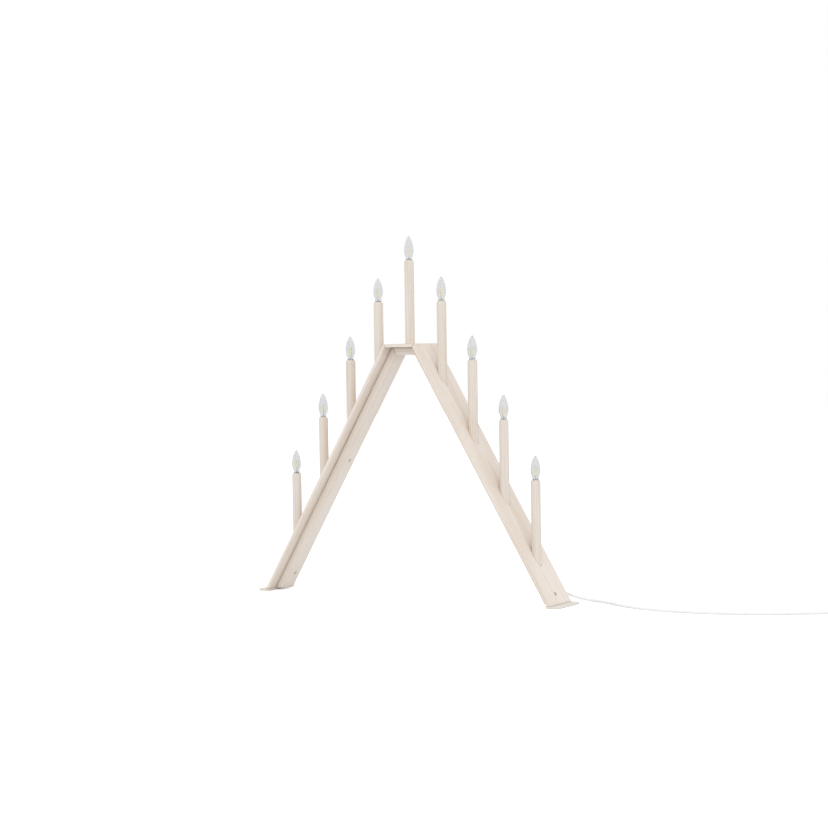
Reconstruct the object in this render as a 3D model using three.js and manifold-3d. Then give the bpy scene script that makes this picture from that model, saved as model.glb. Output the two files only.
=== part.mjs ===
// Nine-candle electric window candlestick: a mitred A-frame of thin whitewashed pine boards,
// stiffened underneath by a grooved wiring channel, with a wooden candle tube, a screw socket and
// an E10 flame bulb at each of nine places, and a white mains cord at the back of the right foot.
// Units are millimetres. +Z is up, +X runs along the width, and -Y is the front.
// The origin lies on the table, midway between the feet and midway through the depth.

import * as THREE from 'three';
import { mergeVertices } from 'three/addons/utils/BufferGeometryUtils.js';
import Module from 'manifold-3d';

const wasm = await Module();
wasm.setup();

// Frame
const topHeight = 368;
const topHalfLength = 25;
const legSlopeDegrees = 59.5;
const boardDepth = 67;
const boardThickness = 4.5;
const seam = 0.3;
const mitreGap = 0.35;

// Wiring channel under the boards
const channelWidth = 28;
const channelHeight = 11;
const grooveWidth = 8;
const grooveDepth = 6;

// Foot plates
const footThickness = 3;
const footReachOut = 12;
const footReachIn = 8;
const footCornerRadius = 4;

// Candle tubes and where they stand
const candlesPerLeg = 4;
const firstCandleAlong = 55.96;
const lastCandleToFoot = 73.3;
const topTubeRise = 120;
const legTubeRise = 108.5;
const tubeDiameter = 13.8;
const tubeShoulderRun = 0.7;
const tubeShoulderDrop = 2.6;
const tubeShoulderRound = 0.35;
const wireBoreDiameter = 6;
const tubeSides = 16;
const holeClearance = 0.3;

// Screw socket and bulb, E10 size
const threadCrestDiameter = 9.5;
const threadDepth = 0.4;
const threadPitch = 1.81;
const threadTurns = 3;
const threadDrop = 2.4;
const threadClearance = 0.4;
const socketWall = 0.45;
const socketLength = 17.5;
const socketRimHeight = 0.6;
const socketRimReach = 0.25;
const socketFloor = 2;
const socketFit = 0.3;
const contactGap = 0.3;
const capLength = 11.6;
const capRimHeight = 1.2;
const capCupDepth = 3;
const capCupWall = 0.45;
const capContactDiameter = 3.2;
const capContactHeight = 1;
const capInsulatorDiameter = 6.4;
const capInsulatorHeight = 1.6;
const roundSides = 12;
const glassHeight = 35.5;
const glassDiameter = 14;
const glassNeckDiameter = 9.2;
const glassNeckFlare = 0.15;
const glassRimGap = 0.4;
const glassWall = 0.7;
const glassSeatDepth = 2.4;
const glassFit = 0.3;
const stemDiameter = 2.8;
const stemHeight = 5.4;
const filamentDiameter = 2.2;
const filamentLength = 13;

// Wiring loom in the groove
const loomWidth = 1.8;
const loomHeight = 3;
const loomOffset = 2.8;
const loomLift = 1.2;
const riserDiameter = 2.4;
const riserSides = 6;
const riserOffset = 1.2;
const loomEndMargin = 12;

// Screws
const screwHeadDiameter = 5.6;
const screwHeadHeight = 1.6;
const screwHeadEase = 0.4;
const screwShankDiameter = 2.8;
const screwSides = 8;
const channelScrewLength = 13.5;
const footScrewLength = 12;
const screwProud = 0.3;
const screwClearance = 0.3;
const upperScrewPastCandle = 35.8;
const lowerScrewHeight = 25.5;
const footScrewHeight = 17;

// Mains cord and its gland
const cordDiameter = 4;
const cordRadius = cordDiameter / 2;
const cordSides = 8;
const cordSteps = 56;
const cordGap = 0.3;
const glandHeight = 17;
const glandDeep = 10;
const glandBodyDiameter = 7;
const glandFlangeDiameter = 9;
const glandFlangeLength = 1.6;
const glandTipDiameter = 5;
const glandInside = 9.4;
const glandOutside = 18.5;

// Cord route from the gland to the coil, chosen by hand, as [x, y, z]
const cordRoute = [
  [220.2, 32.8, 17], [220.3, 37.5, 16.7], [220.9, 42.5, 15.5], [222.8, 47.2, 13.3],
  [226.4, 51.2, 10.8], [231.8, 54.2, 8.2], [239, 56.4, 5.8], [248, 58.2, 3.9],
  [258.5, 59.2, 2.6], [270, 58.4, 2.1], [282, 54, 2], [295, 46, 2],
  [310, 35.5, 2], [329, 25, 2], [352, 16, 2], [380, 9.5, 2],
  [412, 7, 2], [448, 10, 2], [484, 18.5, 2], [520, 32.5, 2],
  [556, 51, 2], [590, 72, 2], [616, 88.7, 2.3], [636, 101.6, 3.1],
  [643, 106.1, 3.1],
];

// Coil of the cord's unseen length
const coilPitch = 4.55;
const coilLayerPitch = 4.6;
const coilLayers = 4;
const coilTurnsPerLayer = 2.3354;
const coilInnerRadius = 16.5;
const coilSides = 6;
const coilSteps = 24;
const coilStraightEnd = 5;
const coilClimbTurns = 0.5;
const coilTailReach = 42;
const coilTailPull = 20;
const coilTailSteps = 8;
const tieWidth = 5;
const tieThickness = 0.8;
const tieSlack = 0.5;
const tieAngleDegrees = 190;

// Two-pin plug
const plugSleeveLength = 16;
const plugSleeveEntryDiameter = 5.6;
const plugSleeveRootDiameter = 8.6;
const plugBodyLength = 33;
const plugRearWidth = 15;
const plugFrontWidth = 27;
const plugThickness = 13.6;
const plugBevel = 2;
const plugWaist = 0.3;
const plugShoulder = 0.45;
const pinDiameter = 4;
const pinLength = 19;
const pinSpacing = 18.6;
const pinSeat = 3.4;
const pinTaper = 0.8;

const woodColour = 0xe9dfd2;
const materials = {
  pine: new THREE.MeshStandardMaterial({ color: woodColour, roughness: 0.72, metalness: 0 }),
  tubePine: new THREE.MeshStandardMaterial({ color: 0xe4d9cb, roughness: 0.68, metalness: 0 }),
  socket: new THREE.MeshStandardMaterial({ color: 0x4c4238, roughness: 0.5, metalness: 0 }),
  brass: new THREE.MeshStandardMaterial({ color: 0xb9a777, roughness: 0.35, metalness: 1 }),
  glass: new THREE.MeshStandardMaterial({
    color: 0xdfe3e6, roughness: 0.05, metalness: 0, transparent: true, opacity: 0.35,
  }),
  steel: new THREE.MeshStandardMaterial({ color: 0x9c9a96, roughness: 0.4, metalness: 1 }),
  wire: new THREE.MeshStandardMaterial({ color: 0xd9d6cf, roughness: 0.5, metalness: 0 }),
  cord: new THREE.MeshStandardMaterial({ color: 0xf1f0ec, roughness: 0.5, metalness: 0 }),
};

const slope = THREE.MathUtils.degToRad(legSlopeDegrees);
const run = Math.cos(slope);
const fall = Math.sin(slope);
const mitreSlope = Math.tan(slope / 2);
const channelTop = boardThickness + seam;
const channelBottom = channelTop + channelHeight;
const frameBottom = footThickness + seam;
const footX = topHalfLength + topHeight * run / fall;
const tubeRadius = tubeDiameter / 2;
const holeRadius = tubeRadius + holeClearance;
const tubeStock = Math.max(topTubeRise, legTubeRise) + tubeDiameter
  + (tubeRadius * fall + boardThickness) / run;
const wireBoreRadius = wireBoreDiameter / 2;
const crestRadius = threadCrestDiameter / 2;
const socketInnerRadius = crestRadius + threadClearance;
const socketRadius = socketInnerRadius + socketWall;
const socketBoreRadius = socketRadius + socketFit;
const socketBoreDepth = socketLength - socketRimHeight + socketFit;

const group = new THREE.Group();

// A piece's mesh, named and placed in the frame
function place(name, geometry, material, position = [0, 0, 0]) {
  const mesh = new THREE.Mesh(geometry, material);
  mesh.name = name;
  mesh.position.set(...position);
  group.add(mesh);
  return mesh;
}

// Six times the volume that a triangle list encloses, negative where it is inside out
function signedVolume(points, index) {
  let sum = 0;
  const [a, b, c] = [new THREE.Vector3(), new THREE.Vector3(), new THREE.Vector3()];
  for (let i = 0; i < index.length; i += 3) {
    a.fromBufferAttribute(points, index[i]);
    b.fromBufferAttribute(points, index[i + 1]);
    c.fromBufferAttribute(points, index[i + 2]);
    sum += a.dot(b.cross(c));
  }
  return sum;
}

// The same surface with shared vertices merged, empty triangles dropped and faces pointing out
function closed(geometry) {
  const bare = geometry.index ? geometry.clone() : geometry;
  bare.deleteAttribute('normal');
  bare.deleteAttribute('uv');
  const merged = mergeVertices(bare, 1e-4);
  const kept = [];
  const index = merged.index.array;
  for (let i = 0; i < index.length; i += 3) {
    const [a, b, c] = [index[i], index[i + 1], index[i + 2]];
    if (a !== b && b !== c && c !== a) {
      kept.push(a, b, c);
    }
  }
  if (signedVolume(merged.attributes.position, kept) < 0) {
    kept.reverse();
  }
  merged.setIndex(kept);
  merged.computeVertexNormals();
  return merged;
}

function toManifold(geometry) {
  const shell = closed(geometry);
  return new wasm.Manifold(new wasm.Mesh({
    numProp: 3,
    vertProperties: new Float32Array(shell.attributes.position.array),
    triVerts: new Uint32Array(shell.index.array),
  }));
}

function toGeometry(manifold) {
  const mesh = manifold.getMesh();
  const geometry = new THREE.BufferGeometry();
  geometry.setAttribute('position', new THREE.BufferAttribute(mesh.vertProperties, 3));
  geometry.setIndex(Array.from(mesh.triVerts));
  geometry.computeVertexNormals();
  return geometry;
}

// A solid of revolution about Z from [radius, z] points
function turned(profile, sides) {
  const points = profile.map(([radius, z]) => new THREE.Vector2(radius, z));
  const geometry = new THREE.LatheGeometry(points, sides);
  geometry.rotateX(Math.PI / 2);
  return closed(geometry);
}

// A flat outline of [x, z] points, as thick along Y as width, centred on the plane y = 0
function slab(outline, width) {
  const shape = new THREE.Shape(outline.map(([x, z]) => new THREE.Vector2(x, z)));
  const geometry = new THREE.ExtrudeGeometry(shape, { depth: width, bevelEnabled: false });
  geometry.translate(0, 0, -width / 2);
  geometry.rotateX(Math.PI / 2);
  return geometry;
}

function mirrored(outline, side) {
  return outline.map(([x, z]) => [side * x, z]);
}

// A point on the right leg: along runs down the slope from the top's outer corner, and
// deep runs square into the wood from the leg's outer face
function legPoint(along, deep) {
  return [topHalfLength + along * run - deep * fall, topHeight - along * fall - deep * run];
}

// Distance down the slope at which the layer at this depth reaches a height
function alongAtHeight(height, deep) {
  return (topHeight - deep * run - height) / fall;
}

// Outline of a layer of the leg between two depths, mitred at the top and level at the foot
function legLayer(shallow, deep) {
  return [
    legPoint(shallow * mitreSlope, shallow),
    legPoint(alongAtHeight(frameBottom, shallow), shallow),
    legPoint(alongAtHeight(frameBottom, deep), deep),
    legPoint(deep * mitreSlope, deep),
  ];
}

// Outline of a layer of the top between two depths, mitred at both ends
function topLayer(shallow, deep) {
  const end = (depth) => topHalfLength - depth * mitreSlope - mitreGap;
  return [
    [-end(shallow), topHeight - shallow],
    [end(shallow), topHeight - shallow],
    [end(deep), topHeight - deep],
    [-end(deep), topHeight - deep],
  ];
}

// Where the candles stand along a leg, measured down the slope, evenly between the first and
// the last
const legLength = alongAtHeight(frameBottom, 0);
const lastCandleAlong = legLength - lastCandleToFoot;
const candlePitch = (lastCandleAlong - firstCandleAlong) / Math.max(candlesPerLeg - 1, 1);
const candleAlong = (number) => firstCandleAlong + number * candlePitch;

// Each candle's name, its side, its place across and the height of its tube's top
const candles = [{ name: 'top', side: 0, x: 0, tubeTop: topHeight + topTubeRise }];
for (const side of [-1, 1]) {
  for (let number = 0; number < candlesPerLeg; number += 1) {
    const [x, surface] = legPoint(candleAlong(number), 0);
    const name = `${side < 0 ? 'left' : 'right'}_${number + 1}`;
    candles.push({ name, side, x: side * x, tubeTop: surface + legTubeRise });
  }
}

function upright(radius, bottom, top, x, y = 0, sides = tubeSides) {
  const geometry = new THREE.CylinderGeometry(radius, radius, top - bottom, sides);
  geometry.rotateX(Math.PI / 2);
  geometry.translate(x, y, (bottom + top) / 2);
  return geometry;
}

// The upright holes through one side's board that its tubes stand in, as one cutter
function tubeHoles(side) {
  const cutters = candles.filter((candle) => candle.side === side)
    .map(({ x, tubeTop }) => toManifold(upright(holeRadius, tubeTop - tubeStock, tubeTop, x)));
  return cutters.reduce((all, cutter) => all.add(cutter));
}

function screwGeometry(length) {
  const head = screwHeadDiameter / 2;
  const shank = screwShankDiameter / 2;
  return turned([
    [0, 0], [head - screwHeadEase, 0], [head, -screwHeadEase], [head, -screwHeadHeight],
    [shank, -screwHeadHeight], [shank, -length + shank], [0, -length],
  ], screwSides);
}

// The room a screw takes, a clearance wider than itself, along -Z from above its head
function screwHole(length) {
  const head = screwHeadDiameter / 2 + screwClearance;
  const shank = screwShankDiameter / 2 + screwClearance;
  const under = -screwHeadHeight - screwClearance;
  const end = -length - screwClearance;
  return turned([
    [0, screwHeadHeight], [head, screwHeadHeight], [head, under], [shank, under], [shank, end],
    [0, end],
  ], screwSides);
}

// Turns a piece that points along -Z into one that points square into a leg from this place
function intoLeg(geometry, side, along, deep, outwards) {
  const [x, z] = legPoint(along, deep);
  const lean = outwards ? slope : slope + Math.PI;
  return geometry.rotateY(lean).scale(side, 1, 1).translate(side * x, 0, z);
}

// Two screws come up through each channel, one past the middle candle and one at the foot,
// and one goes down through each board into its channel
const screws = [];
const middleCandle = Math.floor(candlesPerLeg / 2) - 1;
const channelScrewPlaces = [
  candleAlong(middleCandle) + upperScrewPastCandle,
  alongAtHeight(lowerScrewHeight, channelBottom),
];
for (const side of [-1, 1]) {
  const sideName = side < 0 ? 'left' : 'right';
  channelScrewPlaces.forEach((along, number) => {
    const seat = (geometry) => (
      intoLeg(geometry, side, along, channelBottom + screwProud, false)
    );
    screws.push({
      name: `${sideName}_channel_screw_${number + 1}`, side, seat, length: channelScrewLength,
    });
  });
  const along = alongAtHeight(footScrewHeight, 0);
  const seat = (geometry) => intoLeg(geometry, side, along, -screwProud, true);
  screws.push({ name: `${sideName}_foot_screw`, side, seat, length: footScrewLength });
}

function screwCutter(side) {
  const cutters = screws.filter((screw) => screw.side === side)
    .map(({ seat, length }) => toManifold(seat(screwHole(length))));
  return cutters.reduce((all, cutter) => all.add(cutter));
}

const glandAlong = alongAtHeight(glandHeight, glandDeep);
const glandX = legPoint(glandAlong, glandDeep)[0];

function alongY(geometry, x, y, z) {
  return geometry.rotateX(-Math.PI / 2).translate(x, y, z);
}

// Hole through the right channel's back wall for the gland
function glandCutter() {
  const reach = channelWidth;
  const radius = glandBodyDiameter / 2 + seam;
  const bore = new THREE.CylinderGeometry(radius, radius, reach, roundSides);
  bore.translate(glandX, reach / 2 + grooveWidth / 4, glandHeight);
  return toManifold(bore);
}

// Boards and channels
place('top_board', toGeometry(
  toManifold(slab(topLayer(0, boardThickness), boardDepth)).subtract(tubeHoles(0)),
), materials.pine);

const topGroove = slab([
  [-topHalfLength, topHeight], [topHalfLength, topHeight],
  [topHalfLength, topHeight - channelTop - grooveDepth],
  [-topHalfLength, topHeight - channelTop - grooveDepth],
], grooveWidth);
place('top_channel', toGeometry(
  toManifold(slab(topLayer(channelTop, channelBottom), channelWidth))
    .subtract(toManifold(topGroove)),
), materials.pine);

for (const side of [-1, 1]) {
  const sideName = side < 0 ? 'left' : 'right';
  const screwHoles = screwCutter(side);
  place(`${sideName}_leg_board`, toGeometry(
    toManifold(slab(mirrored(legLayer(0, boardThickness), side), boardDepth))
      .subtract(tubeHoles(side)).subtract(screwHoles),
  ), materials.pine);

  const groove = slab(mirrored([
    legPoint(-grooveDepth, 0), legPoint(alongAtHeight(0, 0), 0),
    legPoint(alongAtHeight(0, 0), channelTop + grooveDepth),
    legPoint(-grooveDepth, channelTop + grooveDepth),
  ], side), grooveWidth);
  let channel = toManifold(slab(mirrored(legLayer(channelTop, channelBottom), side), channelWidth));
  channel = channel.subtract(toManifold(groove)).subtract(screwHoles);
  if (side > 0) {
    channel = channel.subtract(glandCutter());
  }
  place(`${sideName}_channel`, toGeometry(channel), materials.pine);

  const plate = new THREE.Shape();
  const inner = footX - footReachIn;
  const outer = footX + footReachOut;
  const half = boardDepth / 2;
  plate.moveTo(inner, -half);
  plate.lineTo(outer - footCornerRadius, -half);
  plate.absarc(outer - footCornerRadius, -half + footCornerRadius, footCornerRadius,
    -Math.PI / 2, 0);
  plate.absarc(outer - footCornerRadius, half - footCornerRadius, footCornerRadius,
    0, Math.PI / 2);
  plate.lineTo(inner, half);
  const foot = new THREE.ExtrudeGeometry(plate, {
    depth: footThickness, bevelEnabled: false, curveSegments: 4,
  });
  place(`${sideName}_foot_plate`, closed(foot.scale(side, 1, 1)), materials.pine);
}

for (const { name, seat, length } of screws) {
  place(name, closed(seat(screwGeometry(length))), materials.steel);
}

// Candle tube from z = 0 at its top: a shoulder outside, a wire bore and a wider socket bore
// inside. Its foot is cut level on the top and to the slope on a leg, a seam above the channel.
const tubeBlank = toManifold(turned([
  [wireBoreRadius, -tubeStock], [tubeRadius, -tubeStock], [tubeRadius, -tubeShoulderDrop],
  [tubeRadius - tubeShoulderRun * tubeShoulderRound, -tubeShoulderDrop * tubeShoulderRound],
  [tubeRadius - tubeShoulderRun, 0], [socketBoreRadius, 0], [socketBoreRadius, -socketBoreDepth],
  [wireBoreRadius, -socketBoreDepth], [wireBoreRadius, -tubeStock],
], tubeSides));

function tubeFor({ side, x, tubeTop }) {
  const below = side === 0
    ? [[-topHeight, topHeight - boardThickness], [topHeight, topHeight - boardThickness],
      [topHeight, 0], [-topHeight, 0]]
    : mirrored([
      legPoint(-topHeight, boardThickness), legPoint(2 * topHeight, boardThickness),
      legPoint(2 * topHeight, topHeight), legPoint(-topHeight, topHeight),
    ], side);
  const waste = slab(below, boardDepth).translate(-x, 0, -tubeTop);
  return toGeometry(tubeBlank.subtract(toManifold(waste)));
}

// Thread as rings, the same for socket and cap, as [radius, z] points at crests and roots
function threadRings(crest) {
  const points = [];
  for (let ring = 0; ring < threadTurns; ring += 1) {
    points.push([crest, -threadDrop - ring * threadPitch]);
    points.push([crest - threadDepth, -threadDrop - (ring + 0.5) * threadPitch]);
  }
  return points;
}

// Socket and bulb parts have z = 0 at the tube's top. The socket's middle contact reaches up to
// just below the bulb's.
const socketBottom = socketRimHeight - socketLength;
const socketFloorTop = socketBottom + socketFloor;
const capBottom = capRimHeight - capLength;
const contactRadius = capContactDiameter / 2;
const socketGeometry = turned([
  [0, socketBottom], [socketRadius, socketBottom], [socketRadius, socketFit],
  [socketRadius + socketFit + socketRimReach, socketFit],
  [socketRadius + socketFit + socketRimReach, socketRimHeight],
  [socketInnerRadius, socketRimHeight],
  ...threadRings(socketInnerRadius),
  [socketInnerRadius - threadDepth, socketFloorTop], [contactRadius, socketFloorTop],
  [contactRadius, capBottom - contactGap], [0, capBottom - contactGap],
], roundSides);

const cupFloor = capRimHeight - capCupDepth;
const cupRadius = crestRadius - capCupWall;
const stemRadius = stemDiameter / 2;
const filamentRadius = filamentDiameter / 2;
const stemTop = cupFloor + capCupDepth + stemHeight;
const capGeometry = turned([
  [0, capBottom], [contactRadius, capBottom],
  [capInsulatorDiameter / 2, capBottom + capContactHeight],
  [crestRadius - threadDepth, capBottom + capContactHeight + capInsulatorHeight],
  ...threadRings(crestRadius).reverse(),
  [crestRadius, capRimHeight], [cupRadius, capRimHeight], [cupRadius, cupFloor],
  [stemRadius, cupFloor], [stemRadius, stemTop - stemRadius], [filamentRadius, stemTop],
  [filamentRadius, stemTop + filamentLength], [0, stemTop + filamentLength],
], roundSides);

// Flame-shaped envelope as [radius, z] points: up the outside, then down the inside a wall
// further in, to the open neck
const glassRadius = glassDiameter / 2;
const neckRadius = glassNeckDiameter / 2;
const glassOutside = [
  [neckRadius, capRimHeight + glassRimGap], [neckRadius + glassNeckFlare, glassHeight * 0.13],
  [glassRadius * 0.86, glassHeight * 0.235], [glassRadius, glassHeight * 0.4],
  [glassRadius * 0.965, glassHeight * 0.53], [glassRadius * 0.8, glassHeight * 0.71],
  [glassRadius * 0.52, glassHeight * 0.875], [glassRadius * 0.2, glassHeight * 0.975],
  [0, glassHeight],
];
const glassInside = [
  [0, glassHeight * 0.95], [glassRadius * 0.5 - glassWall, glassHeight * 0.87],
  [glassRadius * 0.965 - glassWall, glassHeight * 0.53],
  [glassRadius - glassWall, glassHeight * 0.4],
  [neckRadius + glassNeckFlare - glassWall, glassHeight * 0.13],
];
const neckFoot = cupRadius - glassFit;
const glassGeometry = turned([
  [neckFoot - glassWall, capRimHeight - glassSeatDepth], [neckFoot, capRimHeight - glassSeatDepth],
  [neckFoot, capRimHeight + glassFit], ...glassOutside, ...glassInside,
  [neckFoot - glassWall, capRimHeight - glassSeatDepth],
], roundSides);

for (const candle of candles) {
  const { name, x, tubeTop } = candle;
  place(`candle_tube_${name}`, tubeFor(candle), materials.tubePine, [x, 0, tubeTop]);
  place(`socket_${name}`, socketGeometry, materials.socket, [x, 0, tubeTop]);
  place(`bulb_cap_${name}`, capGeometry, materials.brass, [x, 0, tubeTop]);
  place(`bulb_glass_${name}`, glassGeometry, materials.glass, [x, 0, tubeTop]);
}

// Wiring loom: a flat run in each groove with a riser up each tube to its socket
const loomShallow = channelTop + grooveDepth - loomLift - loomHeight;
const loomDeep = channelTop + grooveDepth - loomLift;

function loom(outline, side) {
  const strip = slab(mirrored(outline, side || 1), loomWidth).translate(0, loomOffset, 0);
  let wires = toManifold(strip);
  for (const { x, tubeTop } of candles.filter((candle) => candle.side === side)) {
    const surface = topHeight - Math.max(0, Math.abs(x) - topHalfLength) * fall / run;
    const foot = surface - (loomShallow + loomHeight / 2) / (side ? run : 1);
    const top = tubeTop + socketBottom - seam;
    const riser = upright(riserDiameter / 2, foot, top, x, riserOffset, riserSides);
    wires = wires.add(toManifold(riser));
  }
  return toGeometry(wires);
}

place('top_wiring', loom([
  [-topHalfLength + loomDeep * mitreSlope + mitreGap, topHeight - loomShallow],
  [topHalfLength - loomDeep * mitreSlope - mitreGap, topHeight - loomShallow],
  [topHalfLength - loomDeep * mitreSlope - mitreGap, topHeight - loomDeep],
  [-topHalfLength + loomDeep * mitreSlope + mitreGap, topHeight - loomDeep],
], 0), materials.wire);
for (const side of [-1, 1]) {
  const lastAlong = lastCandleAlong + loomDeep * fall / run + loomEndMargin;
  const end = side > 0 ? glandAlong : lastAlong;
  place(`${side < 0 ? 'left' : 'right'}_wiring`, loom([
    legPoint(loomDeep * mitreSlope + mitreGap, loomShallow), legPoint(end, loomShallow),
    legPoint(end, loomDeep), legPoint(loomDeep * mitreSlope + mitreGap, loomDeep),
  ], side), materials.wire);
}

// Gland in the right channel's back wall, with a flange and a tapered sleeve
const wallBack = channelWidth / 2;
place('cord_gland', alongY(turned([
  [0, -glandInside], [glandBodyDiameter / 2, -glandInside], [glandBodyDiameter / 2, seam],
  [glandFlangeDiameter / 2, seam], [glandFlangeDiameter / 2, seam + glandFlangeLength],
  [glandBodyDiameter / 2, seam + glandFlangeLength], [glandTipDiameter / 2, glandOutside],
  [0, glandOutside],
], roundSides), glandX, wallBack, glandHeight), materials.cord);

// A circle of the cord's outer size, with its corners on that circle
function cordSection(radius, sides) {
  const shape = new THREE.Shape();
  for (let side = 0; side < sides; side += 1) {
    const turn = (side + 0.5) * 2 * Math.PI / sides;
    const corner = [radius * Math.cos(turn), radius * Math.sin(turn)];
    if (side === 0) {
      shape.moveTo(...corner);
    } else {
      shape.lineTo(...corner);
    }
  }
  shape.closePath();
  return shape;
}

const routePoints = cordRoute.map((point) => new THREE.Vector3(...point));
const cordCurve = new THREE.CatmullRomCurve3(routePoints, false, 'centripetal');
cordCurve.arcLengthDivisions = 400;
place('cord', closed(new THREE.ExtrudeGeometry(cordSection(cordRadius, cordSides), {
  steps: cordSteps, bevelEnabled: false, extrudePath: cordCurve,
})), materials.cord);

// The coil winds clockwise, in and out at a steady rate, and climbs a layer where the spiral
// turns back
const coilTurns = coilLayers * coilTurnsPerLayer;
const coilOuterRadius = coilInnerRadius + coilPitch * coilTurnsPerLayer;
const cordEnd = routePoints[routePoints.length - 1];
const cordHeading = cordCurve.getTangent(1);
const heading = Math.atan2(cordHeading.y, cordHeading.x);
const coilStart = cordEnd.clone().add(
  new THREE.Vector3(Math.cos(heading), Math.sin(heading), 0)
    .multiplyScalar(cordGap + coilStraightEnd),
);
const coilCentre = new THREE.Vector3(
  coilStart.x + coilOuterRadius * Math.sin(heading),
  coilStart.y - coilOuterRadius * Math.cos(heading),
  0,
);
const coilBase = tieThickness + seam + cordRadius;

function smooth(value) {
  const share = THREE.MathUtils.clamp(value, 0, 1);
  return share * share * (3 - 2 * share);
}

function coilPoint(turns) {
  const layer = Math.min(Math.floor(turns / coilTurnsPerLayer), coilLayers - 1);
  const within = turns - layer * coilTurnsPerLayer;
  const inwards = layer % 2 === 0;
  const radius = inwards
    ? coilOuterRadius - coilPitch * within
    : coilInnerRadius + coilPitch * within;
  let climbed = 0;
  for (let step = 1; step < coilLayers; step += 1) {
    climbed += smooth((turns - step * coilTurnsPerLayer) / coilClimbTurns + 0.5);
  }
  const angle = heading + Math.PI / 2 - turns * 2 * Math.PI;
  return new THREE.Vector3(
    coilCentre.x + radius * Math.cos(angle),
    coilCentre.y + radius * Math.sin(angle),
    coilBase + climbed * coilLayerPitch,
  );
}

const tailHeading = heading - coilTurns * 2 * Math.PI;
const tailDirection = new THREE.Vector3(Math.cos(tailHeading), Math.sin(tailHeading), 0);
const tailStart = coilPoint(coilTurns);
const plugEntry = tailStart.clone().addScaledVector(tailDirection, coilTailReach)
  .setZ(plugThickness / 2);
const tailCurve = new THREE.CubicBezierCurve3(
  tailStart,
  tailStart.clone().addScaledVector(tailDirection, coilTailPull),
  plugEntry.clone().addScaledVector(tailDirection, -coilTailPull),
  plugEntry,
);

const coilPath = [coilStart.clone().addScaledVector(cordHeading, -coilStraightEnd).setZ(coilBase)];
for (let step = 0; step <= coilTurns * coilSteps; step += 1) {
  coilPath.push(coilPoint(step / coilSteps));
}
coilPath.push(...tailCurve.getPoints(coilTailSteps).slice(1));

// A tube through a list of points, each ring square to the path and held level
function woundTube(path, radius, sides) {
  const positions = [];
  const index = [];
  const up = new THREE.Vector3(0, 0, 1);
  path.forEach((point, row) => {
    const before = path[Math.max(row - 1, 0)];
    const after = path[Math.min(row + 1, path.length - 1)];
    const ahead = after.clone().sub(before).normalize();
    const across = new THREE.Vector3().crossVectors(ahead, up).normalize();
    const over = new THREE.Vector3().crossVectors(across, ahead);
    for (let side = 0; side < sides; side += 1) {
      const turn = (side + 0.5) * 2 * Math.PI / sides;
      const corner = point.clone().addScaledVector(across, radius * Math.cos(turn))
        .addScaledVector(over, radius * Math.sin(turn));
      positions.push(corner.x, corner.y, corner.z);
    }
  });
  for (let row = 0; row + 1 < path.length; row += 1) {
    for (let side = 0; side < sides; side += 1) {
      const next = (side + 1) % sides;
      const [a, b] = [row * sides + side, row * sides + next];
      const [c, d] = [a + sides, b + sides];
      index.push(a, b, d, a, d, c);
    }
  }
  const last = (path.length - 1) * sides;
  for (let side = 1; side + 1 < sides; side += 1) {
    index.push(0, side + 1, side);
    index.push(last, last + side, last + side + 1);
  }
  const geometry = new THREE.BufferGeometry();
  geometry.setAttribute('position', new THREE.Float32BufferAttribute(positions, 3));
  geometry.setIndex(index);
  return closed(geometry);
}

place('cord_coil', woundTube(coilPath, cordRadius, coilSides), materials.cord);

// Least clear distance between two stretches of the coil more than half a turn apart
let leastGap = Infinity;
for (let i = 0; i < coilPath.length; i += 1) {
  for (let j = i + coilSteps / 2; j < coilPath.length; j += 1) {
    leastGap = Math.min(leastGap, coilPath[i].distanceTo(coilPath[j]) - cordDiameter);
  }
}
const pathLength = (points) => points.slice(1)
  .reduce((sum, point, row) => sum + point.distanceTo(points[row]), 0);
const freeLength = cordCurve.getLength();
const coiledLength = pathLength(coilPath);
console.log(`coil: least gap to itself ${leastGap.toFixed(2)} mm`);
console.log(`cord: free ${freeLength.toFixed(0)} mm, coiled ${coiledLength.toFixed(0)} mm`);

// Tie strap round the coil's section
const tieShape = new THREE.Shape();
const tieInner = coilInnerRadius - cordRadius - tieSlack;
const tieOuter = coilOuterRadius + cordRadius + tieSlack;
const tieTop = coilBase + (coilLayers - 1) * coilLayerPitch + cordRadius + tieSlack;
tieShape.moveTo(tieInner - tieThickness, 0);
tieShape.lineTo(tieOuter + tieThickness, 0);
tieShape.lineTo(tieOuter + tieThickness, tieTop + tieThickness);
tieShape.lineTo(tieInner - tieThickness, tieTop + tieThickness);
tieShape.closePath();
const tieHole = new THREE.Path();
tieHole.moveTo(tieInner, tieThickness);
tieHole.lineTo(tieInner, tieTop);
tieHole.lineTo(tieOuter, tieTop);
tieHole.lineTo(tieOuter, tieThickness);
tieHole.closePath();
tieShape.holes.push(tieHole);
const tieGeometry = new THREE.ExtrudeGeometry(tieShape, { depth: tieWidth, bevelEnabled: false });
tieGeometry.translate(0, 0, -tieWidth / 2);
tieGeometry.rotateX(Math.PI / 2);
tieGeometry.rotateZ(THREE.MathUtils.degToRad(tieAngleDegrees));
tieGeometry.translate(coilCentre.x, coilCentre.y, 0);
place('coil_tie', closed(tieGeometry), materials.cord);

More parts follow.
